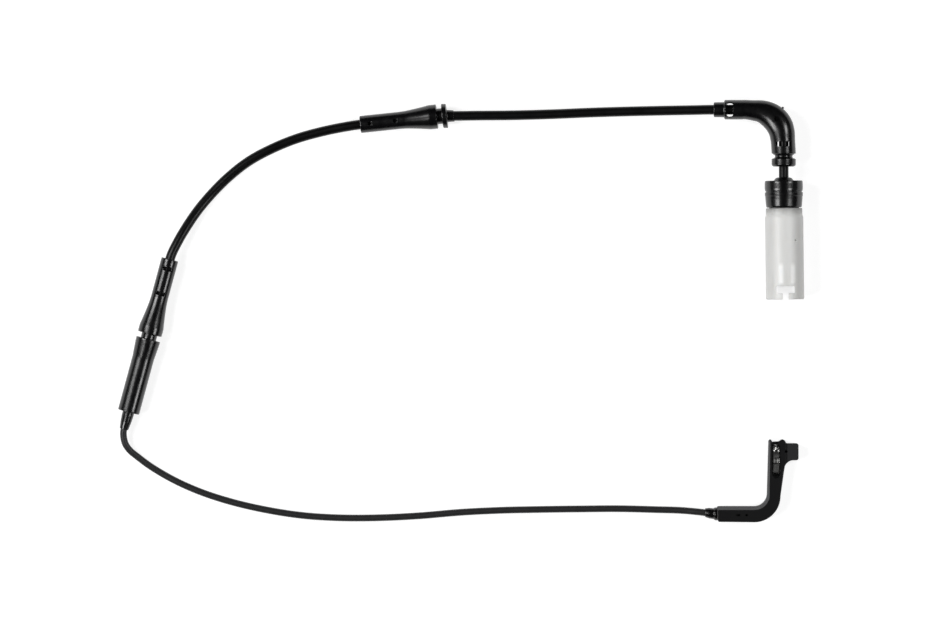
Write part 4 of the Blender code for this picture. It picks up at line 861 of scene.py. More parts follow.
# Head
BEND_INNER_Y = HALF_LEG + INNER_BEND_R
BEND_OUTER_Y = OUTER_BEND_R - HALF_LEG - 0.15 * MM
UPRIGHT_LEFT = LEG_LENGTH + INNER_BEND_R
UPRIGHT_TOP = BEND_OUTER_Y + UPRIGHT_LENGTH
SHOULDER_RIGHT = LEG_LENGTH + OUTER_BEND_R + UPRIGHT_LEAN
TAB_TOP = UPRIGHT_TOP - 1.2 * MM
TAB_LOW = TAB_TOP - TAB_WIDTH
TAB_END = SHOULDER_RIGHT + TAB_REACH
TAB_MIDDLE = (TAB_TOP + TAB_LOW) / 2
CHANNEL_X = (UPRIGHT_LEFT + 0.5 * MM + SHOULDER_RIGHT - 0.1 * MM) / 2
CHANNEL_FLOOR = HEAD_THICKNESS - CHANNEL_DEPTH
CHANNEL_LOW = UPRIGHT_TOP - CHANNEL_LENGTH - 1.0 * MM
POCKET_FLOOR = 4.2 * MM


def arc(centre_x, centre_y, radius, start, end, steps):
    turn = [math.radians(start + (end - start) * k / steps) for k in range(steps + 1)]
    return [(centre_x + radius * math.cos(a), centre_y + radius * math.sin(a)) for a in turn]


def head_outline():
    """Counter-clockwise from the lower left corner."""
    fillet = TAB_FILLET_R
    trough = UPRIGHT_TOP - 0.6 * MM
    left = UPRIGHT_LEFT + 0.6 * MM
    gap_left = CHANNEL_X - CHANNEL_WIDTH / 2
    gap_right = gap_left + 0.8 * CHANNEL_WIDTH
    far = TAB_END - TAB_CORNER_R
    return [
        (0.0, -HALF_LEG + 0.9 * MM),
        (0.63 * MM, -HALF_LEG),
        *arc(LEG_LENGTH, BEND_OUTER_Y, OUTER_BEND_R, -90, 0, 28),
        (SHOULDER_RIGHT, TAB_LOW - fillet),
        *arc(SHOULDER_RIGHT + fillet, TAB_LOW - fillet, fillet, 157.5, 90, 8),
        *arc(far, TAB_LOW + TAB_CORNER_R, TAB_CORNER_R, -90, 0, 7),
        *arc(far, TAB_TOP - TAB_CORNER_R, TAB_CORNER_R, 0, 90, 7),
        (SHOULDER_RIGHT + 0.9 * MM, TAB_TOP),
        (SHOULDER_RIGHT + 0.1 * MM, UPRIGHT_TOP),
        (SHOULDER_RIGHT - 0.6 * MM, UPRIGHT_TOP + 0.4 * MM),
        (SHOULDER_RIGHT - 1.3 * MM, UPRIGHT_TOP + 0.2 * MM),
        (gap_right, trough + 0.15 * MM),
        (gap_left, trough),
        (gap_left - 0.3 * MM, UPRIGHT_TOP),
        (left + 0.6 * MM, UPRIGHT_TOP + 0.45 * MM),
        (left, UPRIGHT_TOP - 0.2 * MM),
        *arc(LEG_LENGTH, BEND_INNER_Y, INNER_BEND_R, 0, -90, 20),
        (0.4 * MM, HALF_LEG),
        (0.0, HALF_LEG - 0.3 * MM),
    ]


def inset(outline, amount):
    """The counter-clockwise outline moved inwards by amount, with mitred corners."""
    moved = []
    for i, (x, y) in enumerate(outline):
        before = Vector(outline[i]) - Vector(outline[i - 1])
        after = Vector(outline[(i + 1) % len(outline)]) - Vector(outline[i])
        first = Vector((-before.y, before.x)).normalized()
        second = Vector((-after.y, after.x)).normalized()
        shift = (first + second) * (amount / (1 + first.dot(second)))
        moved.append((x + shift.x, y + shift.y))
    return moved


def inner_chamfer():
    """A wedge swept along the inner top edge, wide on the leg and narrow up the side."""
    route = [((-2.0 * MM, HALF_LEG), 90.0, 1.0)]
    for k, point in enumerate(arc(LEG_LENGTH, BEND_INNER_Y, INNER_BEND_R, -90, 0, 20)):
        route.append((point, 90.0 + 90.0 * k / 20, 1.0 - 0.35 * (k / 20) ** 2))
    rise = UPRIGHT_TOP - 0.2 * MM - BEND_INNER_Y
    route.append(((UPRIGHT_LEFT + 0.09 * MM, BEND_INNER_Y + 0.15 * rise), 180.0, 0.6))
    route.append(((UPRIGHT_LEFT + 0.6 * MM, BEND_INNER_Y + rise), 180.0, 0.5))
    points, faces = [], []
    for (x, y), outward_turn, share in route:
        width = CHAMFER * share
        over = width / 2
        turn = math.radians(outward_turn)
        out = Vector((math.cos(turn), math.sin(turn), 0.0))
        edge = Vector((x, y, HEAD_THICKNESS))
        points.append(edge - out * (width + over) + Vector((0.0, 0.0, over)))
        points.append(edge + out * over - Vector((0.0, 0.0, width + over)))
        points.append(edge + out * over + Vector((0.0, 0.0, over)))
    for row in range(len(route) - 1):
        for k in range(3):
            a = row * 3 + k
            b = row * 3 + (k + 1) % 3
            faces.append([a, b, b + 3, a + 3])
    faces += [[2, 1, 0], [len(points) - 3, len(points) - 2, len(points) - 1]]
    return outward(add_mesh("cutter", points, faces))


def make_head():
    """Moulded hook. The disc wears its tab away, and the channel holds the clip."""
    outline = head_outline()
    soft = EDGE_ROUND
    layers = [
        (inset(outline, 0.5 * soft), 0.0),
        (outline, 0.5 * soft),
        (outline, HEAD_THICKNESS - soft),
    ]
    for k in range(1, 5):
        a = math.radians(90 * k / 4)
        layers.append((
            inset(outline, soft * (1 - math.cos(a))),
            HEAD_THICKNESS - soft * (1 - math.sin(a)),
        ))
    count = len(outline)
    points = [(x, y, z) for ring, z in layers for x, y in ring]
    faces = [list(range(count))[::-1]]
    for row in range(len(layers) - 1):
        for i in range(count):
            j = (i + 1) % count
            a, b = row * count, (row + 1) * count
            faces.append([a + i, a + j, b + j, b + i])
    faces.append(list(range(len(points) - count, len(points))))
    head = add_mesh("head_moulding", points, faces)
    cut(head, [inner_chamfer()])

    up = 2 * HEAD_THICKNESS
    low_end = CHANNEL_LOW + CHANNEL_WIDTH / 2
    inside_top = UPRIGHT_TOP - 2.4 * MM
    channel = [
        *arc(CHANNEL_X, low_end, CHANNEL_WIDTH / 2, 180, 360, 16),
        (CHANNEL_X + CHANNEL_WIDTH / 2, inside_top),
        (CHANNEL_X + 0.3 * CHANNEL_WIDTH, inside_top + 0.4 * MM),
        (CHANNEL_X + 0.3 * CHANNEL_WIDTH, UPRIGHT_TOP + MM),
        (CHANNEL_X - CHANNEL_WIDTH / 2, UPRIGHT_TOP + MM),
    ]
    wide = CHANNEL_WIDTH / 2 - 0.06 * MM
    low = CHANNEL_LOW + 0.9 * MM
    pocket = block(CHANNEL_X - wide, CHANNEL_X + wide, low, low + 1.6 * MM, 0.2 * MM)
    tab_cut = block(SHOULDER_RIGHT + 0.7 * MM, TAB_END + MM, TAB_LOW - 4 * MM, TAB_TOP + MM)
    cutters = [
        column(channel, CHANNEL_FLOOR, up),
        column(pocket, POCKET_FLOOR, up),
        column(tab_cut, HEAD_THICKNESS - TAB_STEP, up),
        column(tab_cut, -MM, TAB_STEP),
    ]
    pin = circle(HEAD_PIN_R, 24, SHOULDER_RIGHT + 0.75 * MM, TAB_MIDDLE + 0.1 * MM)
    cutters.append(column(pin, POCKET_FLOOR, up))
    side_on = frame_at(Vector((0.0, 0.0, HEAD_CABLE_Z)), (1.0, 0.0, 0.0))
    socket = circle(BOOT_PLUG_R + BOOT_ROOM, 40)
    cutters.append(column(socket, -MM, BOOT_PLUG_LENGTH + BOOT_ROOM, side_on))
    cut(head, cutters)
    ease_edges(head, 0.1 * MM, 40.0)
    # The two pits are cut last, so that their edges stay sharp
    for x, half in ((8.4 * MM, 0.8 * MM), (11.7 * MM, 0.45 * MM)):
        pit = block(x - half, x + half, -0.85 * MM, -0.05 * MM, 0.1 * MM)
        cut(head, [column(pit, HEAD_THICKNESS - 1.2 * MM, up)])
    level_shading(head)
    head.matrix_world = HEAD
    return head


def make_boot():
    """Rubber bend relief that plugs into the head and grips the thin cable."""
    corners = [
        (THIN_R + GRIP, BOOT_PLUG_LENGTH),
        (BOOT_PLUG_R, BOOT_PLUG_LENGTH, 0.2 * MM),
        (BOOT_PLUG_R, -0.02 * MM),
        (BOOT_FLARE_R, -0.02 * MM, 0.1 * MM),
        (BOOT_FLARE_R, -0.8 * MM, 0.3 * MM),
        (BOOT_R, -1.5 * MM, 0.5 * MM),
        (BOOT_R, -BOOT_LENGTH + 1.6 * MM, 1.5 * MM),
        (BOOT_TIP_R, -BOOT_LENGTH, 0.25 * MM),
        (THIN_R + GRIP, -BOOT_LENGTH, 0.05 * MM),
    ]
    place = frame_at(Vector((HEAD_X, HEAD_Y, HEAD_CABLE_Z)), (1.0, 0.0, 0.0))
    return lean(smooth(turned("head_boot_rubber", corners, place, 64)), -BOOT_ROOT, BOOT_LEAN, -1)


def make_clip():
    """Strip spring steel, stamped and bent, with a crest that snaps behind the pad's plate.

    bends are (distance up the channel, height, crown). The crown is how far the sides drop,
    and it and the distance are in millimetres.
    """
    lift = CHANNEL_FLOOR + 0.3 * MM + CLIP_THICKNESS / 2
    crest = HEAD_THICKNESS - 0.1 * MM
    bends = [
        (2.0, CHANNEL_FLOOR + 0.2 * MM, 0.0), (2.6, lift, 0.0), (4.9, lift, 0.0),
        (5.7, lift + 0.05 * MM, 0.0), (6.1, lift + 0.35 * MM, 0.05), (7.0, lift + 0.45 * MM, 0.12),
        (7.9, lift + 0.4 * MM, 0.05), (8.3, lift, 0.0), (9.4, lift, 0.0),
        (10.7, crest - 0.45 * MM, 0.15), (11.5, crest - 0.05 * MM, 0.55), (12.0, crest, 0.7),
        (12.5, crest - 0.1 * MM, 0.7), (13.4, crest - 0.9 * MM, 0.3),
    ]
    fine = through([(CHANNEL_LOW + y * MM, z, crown * MM) for y, z, crown in bends], 6)
    half = CHANNEL_WIDTH / 2 - CLIP_ROOM
    narrow = 0.3 * CHANNEL_WIDTH - CLIP_ROOM
    across = 12
    points = []
    for y, z, crown in fine:
        share = min(1.0, max(0.0, (y - CHANNEL_LOW - 12.4 * MM) / (0.6 * MM)))
        right = half + (narrow - half) * share
        for k in range(across + 1):
            u = 2 * k / across - 1
            x = (right - half) / 2 + u * (right + half) / 2
            points.append((CHANNEL_X + x, y, z - crown * min(1.0, 1.6 * abs(u)) ** 2))
    faces = []
    for row in range(len(fine) - 1):
        for k in range(across):
            a = row * (across + 1) + k
            faces.append([a, a + 1, a + across + 2, a + across + 1])
    clip = add_mesh("clip_spring", points, faces, HEAD)
    sheet = clip.modifiers.new("sheet", "SOLIDIFY")
    sheet.thickness = CLIP_THICKNESS
    sheet.offset = 0.0
    settle(clip)
    return soften(clip, 0.04 * MM)


# Shaders
def linear(code):
    """An sRGB hex colour as linear values with alpha."""
    parts = [int(code[i : i + 2], 16) / 255 for i in (1, 3, 5)]
    return (*[p / 12.92 if p <= 0.04045 else ((p + 0.055) / 1.055) ** 2.4 for p in parts], 1.0)


def per_mm(size):
    """The texture scale at which a pattern repeats about every size millimetres."""
    return 1000.0 / size


def add_node(owner, kind, inputs=(), **settings):
    """Adds a node to a material or the world. inputs maps a socket to its value or its source."""
    node = owner.node_tree.nodes.new(kind)
    for name, value in settings.items():
        setattr(node, name, value)
    for name, value in dict(inputs).items():
        if isinstance(value, bpy.types.NodeSocket):
            owner.node_tree.links.new(value, node.inputs[name])
        else:
            node.inputs[name].default_value = value
    return node


def new_material(name):
    material = bpy.data.materials.new(name)
    material.use_nodes = True
    material.node_tree.nodes.remove(material.node_tree.nodes["Principled BSDF"])
    return material


def close_material(material, **shader_inputs):
    """Ends the material in one shader with these inputs, their spaces written as underscores."""
    named = {name.replace("_", " "): value for name, value in shader_inputs.items()}
    shader = add_node(material, "ShaderNodeBsdfPrincipled", named)
    output = material.node_tree.nodes["Material Output"]
    material.node_tree.links.new(shader.outputs["BSDF"], output.inputs["Surface"])
    return material


# In a colour Mix node, sockets 6 and 7 are the two colours and output 2 is the mixed one.
def moulded_rubber():
    """EPDM rubber, compression moulded.

    Carbon black makes it nearly as dark as it can be. The mould leaves a skin with a soft sheen,
    a little uneven where the release film lay.
    """
    material = new_material("moulded_rubber")
    place = add_node(material, "ShaderNodeTexCoord").outputs["Object"]
    # Release film, in patches a few millimetres wide
    film = add_node(
        material,
        "ShaderNodeTexNoise",
        {"Vector": place, "Scale": per_mm(3.0), "Detail": 3.0, "Roughness": 0.55},
    ).outputs["Fac"]
    # Mould grain. The real one is 0.05 mm and is drawn at 0.3 mm, so that it shows.
    grain = add_node(
        material, "ShaderNodeTexNoise", {"Vector": place, "Scale": per_mm(0.3), "Detail": 2.0}
    ).outputs["Fac"]
    colour = add_node(
        material,
        "ShaderNodeMix",
        {0: film, 6: linear("#050506"), 7: linear("#0c0c0d")},
        data_type="RGBA",
    ).outputs[2]
    sheen = add_node(
        material,
        "ShaderNodeMapRange",
        {"Value": film, "From Min": 0.3, "From Max": 0.7, "To Min": 0.2, "To Max": 0.27},
    ).outputs["Result"]
    skin = add_node(
        material, "ShaderNodeBump", {"Height": grain, "Strength": 0.12, "Distance": 0.02 * MM}
    ).outputs["Normal"]
    return close_material(
        material,
        Base_Color=colour,
        Roughness=sheen,
        Normal=skin,
        IOR=1.5,
        Specular_IOR_Level=0.55,
    )


def extruded_sheath():
    """Polyurethane cable sheath, extruded.

    The die draws faint lines along it, and the surface is a matt black that hardly shines.
    """
    material = new_material("extruded_sheath")
    place = add_node(material, "ShaderNodeTexCoord").outputs["Object"]
    round_and_along = add_node(material, "ShaderNodeTexCoord").outputs["UV"]
    # Die lines, sixty round the sheath and each some girths long
    drawn = add_node(
        material, "ShaderNodeMapping", {"Vector": round_and_along, "Scale": (60.0, 0.4, 1.0)}
    ).outputs["Vector"]
    lines = add_node(
        material, "ShaderNodeTexNoise", {"Vector": drawn, "Scale": 1.0, "Detail": 2.0}
    ).outputs["Fac"]
    cloud = add_node(
        material, "ShaderNodeTexNoise", {"Vector": place, "Scale": per_mm(6.0), "Detail": 2.0}
    ).outputs["Fac"]
    colour = add_node(
        material,
        "ShaderNodeMix",
        {0: cloud, 6: linear("#070707"), 7: linear("#0c0c0d")},
        data_type="RGBA",
    ).outputs[2]
    sheen = add_node(
        material,
        "ShaderNodeMapRange",
        {"Value": cloud, "From Min": 0.3, "From Max": 0.7, "To Min": 0.28, "To Max": 0.34},
    ).outputs["Result"]
    skin = add_node(
        material, "ShaderNodeBump", {"Height": lines, "Strength": 0.25, "Distance": 0.02 * MM}
    ).outputs["Normal"]
    return close_material(
        material,
        Base_Color=colour,
        Roughness=sheen,
        Normal=skin,
        IOR=1.5,
        Specular_IOR_Level=0.2,
    )


def extruded_thin_sheath():
    """Heat resistant elastomer sheath, extruded.

    It is greyer and duller than the main cable, with a fine bloom on it.
    """
    material = new_material("extruded_thin_sheath")
    place = add_node(material, "ShaderNodeTexCoord").outputs["Object"]
    bloom = add_node(
        material,
        "ShaderNodeTexNoise",
        {"Vector": place, "Scale": per_mm(2.2), "Detail": 4.0, "Roughness": 0.6},
    ).outputs["Fac"]
    grain = add_node(
        material, "ShaderNodeTexNoise", {"Vector": place, "Scale": per_mm(0.3), "Detail": 2.0}
    ).outputs["Fac"]
    colour = add_node(
        material,
        "ShaderNodeMix",
        {0: bloom, 6: linear("#19191a"), 7: linear("#29292a")},
        data_type="RGBA",
    ).outputs[2]
    skin = add_node(
        material, "ShaderNodeBump", {"Height": grain, "Strength": 0.35, "Distance": 0.02 * MM}
    ).outputs["Normal"]
    return close_material(
        material,
        Base_Color=colour,
        Roughness=0.42,
        Normal=skin,
        IOR=1.5,
        Specular_IOR_Level=0.3,
    )


def natural_nylon():
    """Polyamide with no pigment, injection moulded.

    It is a milky grey white that light sinks into, with flow marks from the gate and a satin
    skin. Two bands along it near the mouth are painted whiter, as painted light, and the end by
    the seal is painted greyer, as painted shade under the seal. The piece's own Y runs from the
    mouth to the seal.
    """
    material = new_material("natural_nylon")
    place = add_node(material, "ShaderNodeTexCoord").outputs["Object"]
    split = add_node(material, "ShaderNodeSeparateXYZ", {"Vector": place})
    across, along = split.outputs["X"], split.outputs["Y"]
    # Flow marks are drawn out along the plug
    stretched = add_node(
        material, "ShaderNodeMapping", {"Vector": place, "Scale": (1.0, 0.3, 1.0)}
    ).outputs["Vector"]
    flow = add_node(
        material,
        "ShaderNodeTexNoise",
        {"Vector": stretched, "Scale": per_mm(4.0), "Detail": 3.0, "Roughness": 0.5},
    ).outputs["Fac"]
    # Spark eroded mould texture. The real one is 0.08 mm and is drawn at 0.3 mm, so that it shows.
    grain = add_node(
        material, "ShaderNodeTexNoise", {"Vector": place, "Scale": per_mm(0.3), "Detail": 3.0}
    ).outputs["Fac"]
    body = add_node(
        material,
        "ShaderNodeMix",
        {0: flow, 6: linear("#d6d6d4"), 7: linear("#e3e3e1")},
        data_type="RGBA",
    ).outputs[2]
    # The two bands of painted light lie at the same distance from their own middle line
    from_middle = add_node(
        material, "ShaderNodeMath", {0: across, 1: PAINTED_LIGHT_MIDDLE}, operation="SUBTRACT"
    ).outputs["Value"]
    either = add_node(
        material, "ShaderNodeMath", {0: from_middle}, operation="ABSOLUTE"
    ).outputs["Value"]
    off = add_node(
        material, "ShaderNodeMath", {0: either, 1: PAINTED_LIGHT_APART / 2}, operation="SUBTRACT"
    ).outputs["Value"]
    beside = add_node(material, "ShaderNodeMath", {0: off}, operation="ABSOLUTE").outputs["Value"]
    in_width = add_node(
        material,
        "ShaderNodeMapRange",
        {"Value": beside, "From Min": 0.3 * MM, "From Max": 1.2 * MM, "To Min": 1.0, "To Max": 0.0},
    ).outputs["Result"]
    past_start = add_node(
        material,
        "ShaderNodeMapRange",
        {"Value": along, "From Min": PAINTED_LIGHT_START, "From Max": PAINTED_LIGHT_START + 1.0 * MM},
    ).outputs["Result"]
    before_end = add_node(
        material,
        "ShaderNodeMapRange",
        {
            "Value": along,
            "From Min": PAINTED_LIGHT_END - 2.0 * MM,
            "From Max": PAINTED_LIGHT_END,
            "To Min": 1.0,
            "To Max": 0.0,
        },
    ).outputs["Result"]
    in_length = add_node(
        material, "ShaderNodeMath", {0: past_start, 1: before_end}, operation="MULTIPLY"
    ).outputs["Value"]
    # Painted light: the mask of the two bands that are painted whiter than the body
    thin = add_node(
        material, "ShaderNodeMath", {0: in_width, 1: in_length}, operation="MULTIPLY"
    ).outputs["Value"]
    with_painted_light = add_node(
        material, "ShaderNodeMix", {0: thin, 6: body, 7: linear("#fafaf8")}, data_type="RGBA"
    ).outputs[2]
    # Painted shade: the shell is painted grey just below the seal's skirt
    painted_shade_by_seal = add_node(
        material,
        "ShaderNodeMapRange",
        {"Value": along, "From Min": SEAL_START - 3.4 * MM, "From Max": SEAL_START + 0.2 * MM},
    ).outputs["Result"]
    colour = add_node(
        material, "ShaderNodeMix", {0: painted_shade_by_seal, 6: with_painted_light, 7: linear("#8c8c8a")}, data_type="RGBA"
    ).outputs[2]
    sheen = add_node(
        material,
        "ShaderNodeMapRange",
        {"Value": flow, "From Min": 0.3, "From Max": 0.7, "To Min": 0.36, "To Max": 0.46},
    ).outputs["Result"]
    skin = add_node(
        material, "ShaderNodeBump", {"Height": grain, "Strength": 0.15, "Distance": 0.02 * MM}
    ).outputs["Normal"]
    return close_material(
        material,
        Base_Color=colour,
        Roughness=sheen,
        Normal=skin,
        IOR=1.53,
        Subsurface_Weight=0.6,
        Subsurface_Radius=(2.0 * MM, 1.9 * MM, 1.8 * MM),
        Subsurface_Scale=1.0,
    )


def carrier_plastic():
    """Glass filled polyamide, injection moulded. It is duller and greyer than the shell."""
    material = new_material("carrier_plastic")
    place = add_node(material, "ShaderNodeTexCoord").outputs["Object"]
    fibre = add_node(
        material,
        "ShaderNodeTexNoise",
        {"Vector": place, "Scale": per_mm(0.5), "Detail": 4.0, "Roughness": 0.65},
    ).outputs["Fac"]
    colour = add_node(
        material,
        "ShaderNodeMix",
        {0: fibre, 6: linear("#c2c1bb"), 7: linear("#d6d5cf")},
        data_type="RGBA",
    ).outputs[2]
    return close_material(material, Base_Color=colour, Roughness=0.55, IOR=1.53)


def head_thermoset():
    """Phenolic with glass fibre, transfer moulded.

    It is a dry grey black with a faint speckle of fibre ends. The tab, which is ground flat, is
    a little paler than the rest.
    """
    material = new_material("head_thermoset")
    place = add_node(material, "ShaderNodeTexCoord").outputs["Object"]
    across = add_node(material, "ShaderNodeSeparateXYZ", {"Vector": place}).outputs["X"]
    on_tab = add_node(
        material,
        "ShaderNodeMapRange",
        {
            "Value": across,
            "From Min": SHOULDER_RIGHT + 0.3 * MM,
            "From Max": SHOULDER_RIGHT + 1.2 * MM,
        },
    ).outputs["Result"]
    # Fibre ends. The real ones are 0.01 mm and are drawn at 0.25 mm, so that they show.
    speckle = add_node(
        material,
        "ShaderNodeTexNoise",
        {"Vector": place, "Scale": per_mm(0.25), "Detail": 3.0, "Roughness": 0.7},
    ).outputs["Fac"]
    flow = add_node(
        material, "ShaderNodeTexNoise", {"Vector": place, "Scale": per_mm(3.5), "Detail": 3.0}
    ).outputs["Fac"]
    body = add_node(
        material,
        "ShaderNodeMix",
        {0: flow, 6: linear("#0b0b0c"), 7: linear("#111112")},
        data_type="RGBA",
    ).outputs[2]
    tab = add_node(
        material,
        "ShaderNodeMix",
        {0: speckle, 6: linear("#1d1d1e"), 7: linear("#2e2e2f")},
        data_type="RGBA",
    ).outputs[2]
    moulded = add_node(
        material, "ShaderNodeMix", {0: on_tab, 6: body, 7: tab}, data_type="RGBA"
    ).outputs[2]
    # Painted highlight: the sloping faces of the chamfer round the inside of the hook are painted
    # paler
    facing = add_node(material, "ShaderNodeTexCoord").outputs["Normal"]
    inwards = add_node(
        material,
        "ShaderNodeVectorMath",
        {0: facing, 1: (-0.7, 0.7, 0.0)},
        operation="DOT_PRODUCT",
    ).outputs["Value"]
    upwards = add_node(material, "ShaderNodeSeparateXYZ", {"Vector": facing}).outputs["Z"]
    sloping = add_node(
        material, "ShaderNodeMath", {0: upwards, 1: 0.7, 2: 0.1}, operation="COMPARE"
    ).outputs["Value"]
    inner = add_node(
        material, "ShaderNodeMapRange", {"Value": inwards, "From Min": 0.3, "From Max": 0.45}
    ).outputs["Result"]
    painted_chamfer_highlight = add_node(
        material, "ShaderNodeMath", {0: sloping, 1: inner}, operation="MULTIPLY"
    ).outputs["Value"]
    colour = add_node(
        material,
        "ShaderNodeMix",
        {0: painted_chamfer_highlight, 6: moulded, 7: linear("#505051")},
        data_type="RGBA",
    ).outputs[2]
    skin = add_node(
        material, "ShaderNodeBump", {"Height": speckle, "Strength": 0.3, "Distance": 0.03 * MM}
    ).outputs["Normal"]
    return close_material(
        material,
        Base_Color=colour,
        Roughness=0.3,
        Normal=skin,
        IOR=1.55,
        Specular_IOR_Level=0.4,
    )


def spring_steel():
    """Stainless strip, cold rolled. It is bright, with fine rolling lines along its length."""
    material = new_material("spring_steel")
    place = add_node(material, "ShaderNodeTexCoord").outputs["Object"]
    rolled = add_node(
        material, "ShaderNodeMapping", {"Vector": place, "Scale": (1.0, 0.05, 1.0)}
    ).outputs["Vector"]
    lines = add_node(
        material, "ShaderNodeTexNoise", {"Vector": rolled, "Scale": per_mm(0.15), "Detail": 3.0}
    ).outputs["Fac"]
    sheen = add_node(
        material,
        "ShaderNodeMapRange",
        {"Value": lines, "From Min": 0.3, "From Max": 0.7, "To Min": 0.24, "To Max": 0.32},
    ).outputs["Result"]
    colour = add_node(
        material,
        "ShaderNodeMix",
        {0: lines, 6: linear("#a4a4a2"), 7: linear("#bcbcba")},
        data_type="RGBA",
    ).outputs[2]
    return close_material(material, Base_Color=colour, Roughness=sheen, Metallic=1.0)


def tinned_bronze():
    """Stamped bronze under dipped tin. It is silvery and soft, with dull patches."""
    material = new_material("tinned_bronze")
    place = add_node(material, "ShaderNodeTexCoord").outputs["Object"]
    patches = add_node(
        material, "ShaderNodeTexNoise", {"Vector": place, "Scale": per_mm(0.8), "Detail": 3.0}
    ).outputs["Fac"]
    colour = add_node(
        material,
        "ShaderNodeMix",
        {0: patches, 6: linear("#c9c4b8"), 7: linear("#dedbd2")},
        data_type="RGBA",
    ).outputs[2]
    sheen = add_node(
        material, "ShaderNodeMapRange", {"Value": patches, "To Min": 0.25, "To Max": 0.42}
    ).outputs["Result"]
    return close_material(material, Base_Color=colour, Roughness=sheen, Metallic=1.0)


def drawn_copper():
    """Bare copper wire, drawn. Its surface has dulled a little in air."""
    material = new_material("drawn_copper")
    place = add_node(material, "ShaderNodeTexCoord").outputs["Object"]
    tarnish = add_node(
        material, "ShaderNodeTexNoise", {"Vector": place, "Scale": per_mm(0.6), "Detail": 3.0}
    ).outputs["Fac"]
    colour = add_node(
        material,
        "ShaderNodeMix",
        {0: tarnish, 6: linear("#b06f4e"), 7: linear("#d98f69")},
        data_type="RGBA",
    ).outputs[2]
    return close_material(material, Base_Color=colour, Roughness=0.35, Metallic=1.0)


def core_insulation(name, dark, light):
    """Cross-linked polyethylene on a cable's core, extruded. It is glossy, with faint clouding."""
    material = new_material(name)
    place = add_node(material, "ShaderNodeTexCoord").outputs["Object"]
    cloud = add_node(
        material, "ShaderNodeTexNoise", {"Vector": place, "Scale": per_mm(1.5), "Detail": 2.0}
    ).outputs["Fac"]
    colour = add_node(
        material,
        "ShaderNodeMix",
        {0: cloud, 6: linear(dark), 7: linear(light)},
        data_type="RGBA",
    ).outputs[2]
    return close_material(material, Base_Color=colour, Roughness=0.4, IOR=1.5)


def table_paper():
    """White paper sweep. It keeps the shadow, and to the eye it is lifted to the sheet's white."""
    material = new_material("table_paper")
    grey = (TABLE_REFLECTANCE, TABLE_REFLECTANCE, TABLE_REFLECTANCE, 1.0)
    paper = add_node(material, "ShaderNodeBsdfDiffuse", {"Color": grey}).outputs["BSDF"]
    path = add_node(material, "ShaderNodeLightPath")
    direct = add_node(
        material,
        "ShaderNodeMath",
        {0: path.outputs["Is Camera Ray"], 1: path.outputs["Is Transmission Ray"]},
        operation="MAXIMUM",
    ).outputs["Value"]
    seen = add_node(
        material,
        "ShaderNodeMath",
        {0: direct, 1: path.outputs["Is Glossy Ray"]},
        operation="MAXIMUM",
    ).outputs["Value"]
    lift = add_node(material, "ShaderNodeMath", {0: seen, 1: TABLE_LIFT}, operation="MULTIPLY")
    glow = add_node(
        material, "ShaderNodeEmission", {"Strength": lift.outputs["Value"]}
    ).outputs["Emission"]
    both = add_node(material, "ShaderNodeAddShader", {0: paper, 1: glow}).outputs["Shader"]
    output = material.node_tree.nodes["Material Output"]
    material.node_tree.links.new(both, output.inputs["Surface"])
    return material


# Studio
def softbox(name, place, across, along, watts):
    """A soft rectangular lamp that points at the middle of the table."""
    lamp = bpy.data.lights.new(name, "AREA")
    lamp.shape = "RECTANGLE"
    lamp.size = across
    lamp.size_y = along
    lamp.energy = watts
    rig = bpy.data.objects.new(name, lamp)
    bpy.context.scene.collection.objects.link(rig)
    rig.location = place
    rig.rotation_mode = "QUATERNION"
    rig.rotation_quaternion = (-place).to_track_quat("-Z", "Y")
    rig.visible_camera = False


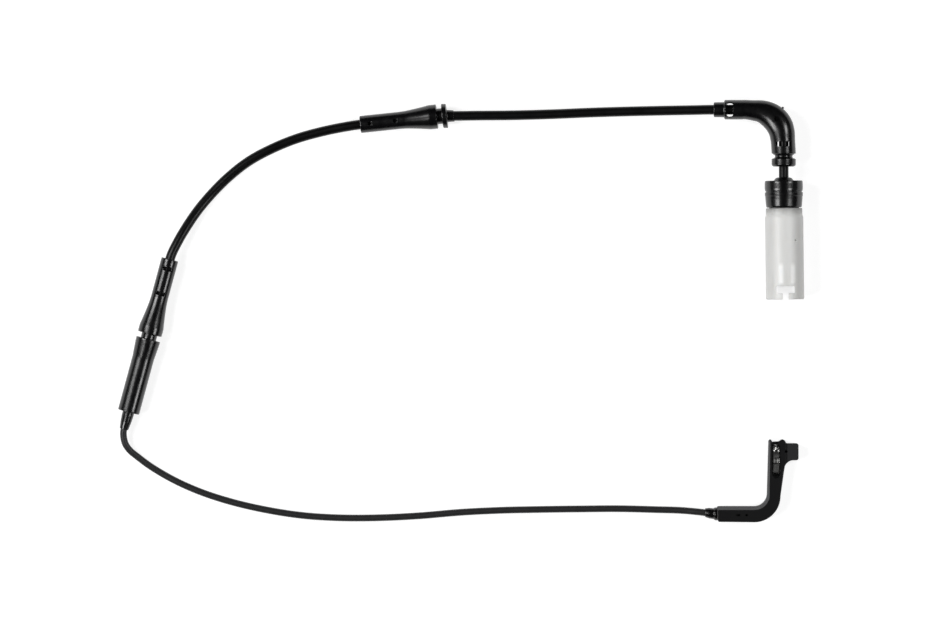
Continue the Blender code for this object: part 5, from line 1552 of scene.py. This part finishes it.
def make_studio():
    half = TABLE_HALF
    corners = [(-half, -half, 0.0), (half, -half, 0.0), (half, half, 0.0), (-half, half, 0.0)]
    floor = add_mesh("table", corners, [[0, 1, 2, 3]])
    floor.location.z = -TABLE_GAP
    floor.data.materials.append(table_paper())
    # Two lamps to the left and two weaker ones to the right: azimuth, slant, width, height, watts
    for name, azimuth, slant, width, height, watts in (
        ("left_near_lamp", 200.5, 43.0, 0.38, 0.75, 11.7),
        ("left_far_lamp", 159.5, 43.0, 0.38, 0.75, 11.7),
        ("right_near_lamp", 339.5, 42.0, 0.34, 0.5, 5.9),
        ("right_far_lamp", 20.5, 42.0, 0.34, 0.5, 5.9),
    ):
        around, down = math.radians(azimuth), math.radians(slant)
        place = Vector((
            math.sin(down) * math.cos(around),
            math.sin(down) * math.sin(around),
            math.cos(down),
        ))
        softbox(name, place * LAMP_DISTANCE, width, height, watts)
    # A white wall to the left and behind, and dark cloth elsewhere
    world = bpy.data.worlds.new("studio_walls")
    world.use_nodes = True
    bpy.context.scene.world = world
    wall = world.node_tree.nodes["Background"]
    place = add_node(world, "ShaderNodeTexCoord").outputs["Generated"]
    up = add_node(world, "ShaderNodeSeparateXYZ", {"Vector": place}).outputs["Z"]
    low = add_node(
        world,
        "ShaderNodeMapRange",
        {"Value": up, "From Min": 0.08, "From Max": 0.4, "To Min": 1.0, "To Max": 0.0},
    ).outputs["Result"]
    towards = add_node(
        world,
        "ShaderNodeVectorMath",
        {0: place, 1: (-0.7, 0.7, 0.0)},
        operation="DOT_PRODUCT",
    ).outputs["Value"]
    side = add_node(
        world,
        "ShaderNodeMapRange",
        {"Value": towards, "From Min": -0.2, "From Max": 0.6, "To Min": 0.15, "To Max": 1.0},
    ).outputs["Result"]
    bright = add_node(
        world, "ShaderNodeMath", {0: low, 1: side}, operation="MULTIPLY"
    ).outputs["Value"]
    cloth = 0.03
    level = add_node(
        world, "ShaderNodeMath", {0: bright, 1: cloth}, operation="ADD"
    ).outputs["Value"]
    world.node_tree.links.new(level, wall.inputs["Strength"])
    bpy.context.scene.view_settings.view_transform = "Standard"


def dress(piece, material, slot, *nodes):
    """Gives the piece its material and its body, and hides the solids that it stands for. slot is
    not used.
    """
    turn = piece.matrix_world.to_3x3().to_4x4()
    piece.data.transform(turn)
    piece.matrix_world = Matrix.Translation(piece.matrix_world.translation)
    piece.data.materials.clear()
    piece.data.materials.append(material)
    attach(piece, "root")
    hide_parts(*nodes)
    return piece


def dress_solid(name, material):
    """Gives a hidden solid, which is shown as it is, its material."""
    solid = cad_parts[name]
    solid.data.materials.clear()
    solid.data.materials.append(material)


# Pieces
rubber = moulded_rubber()
main_line = main_cable_line()
main_cable = sheath("main_cable_sheath", main_line, CABLE_R)
dress(main_cable, extruded_sheath(), "cable_sheath", "main_cable")
thin_line = thin_cable_line()
thin_cable = sheath("thin_cable_sheath", thin_line, THIN_R)
dress(thin_cable, extruded_thin_sheath(), "thin_cable_sheath", "thin_cable")
dress(make_shell(), natural_nylon(), "natural_nylon", "connector_shell")
dress(make_rear_seal(), rubber, "black_rubber", "rear_seal")
elbow = dress(make_elbow(), rubber, "black_rubber", "elbow_grommet")
strut = dress(make_strut_sleeve(), rubber, "black_rubber", "strut_grommet")
dress(make_splice_sleeve(), rubber, "black_rubber", "splice_sleeve")
dress(make_boot(), rubber, "black_rubber", "head_boot")
dress(make_head(), head_thermoset(), "head_plastic", "sensor_head")
dress(make_clip(), spring_steel(), "spring_steel", "retaining_clip")

# Solids inside, shown as they are
dress_solid("contact_carrier", carrier_plastic())
tinned = tinned_bronze()
for name in ("socket_contact_1", "socket_contact_2", "splice_crimp_1", "splice_crimp_2"):
    dress_solid(name, tinned)
copper = drawn_copper()
for name in ("splice_core_1", "splice_core_2", "wear_loop"):
    dress_solid(name, copper)
dress_solid("contact_lead_1", core_insulation("brown_insulation", "#5a3a28", "#6b4631"))
dress_solid("contact_lead_2", core_insulation("grey_insulation", "#8d9092", "#a0a3a5"))

make_studio()
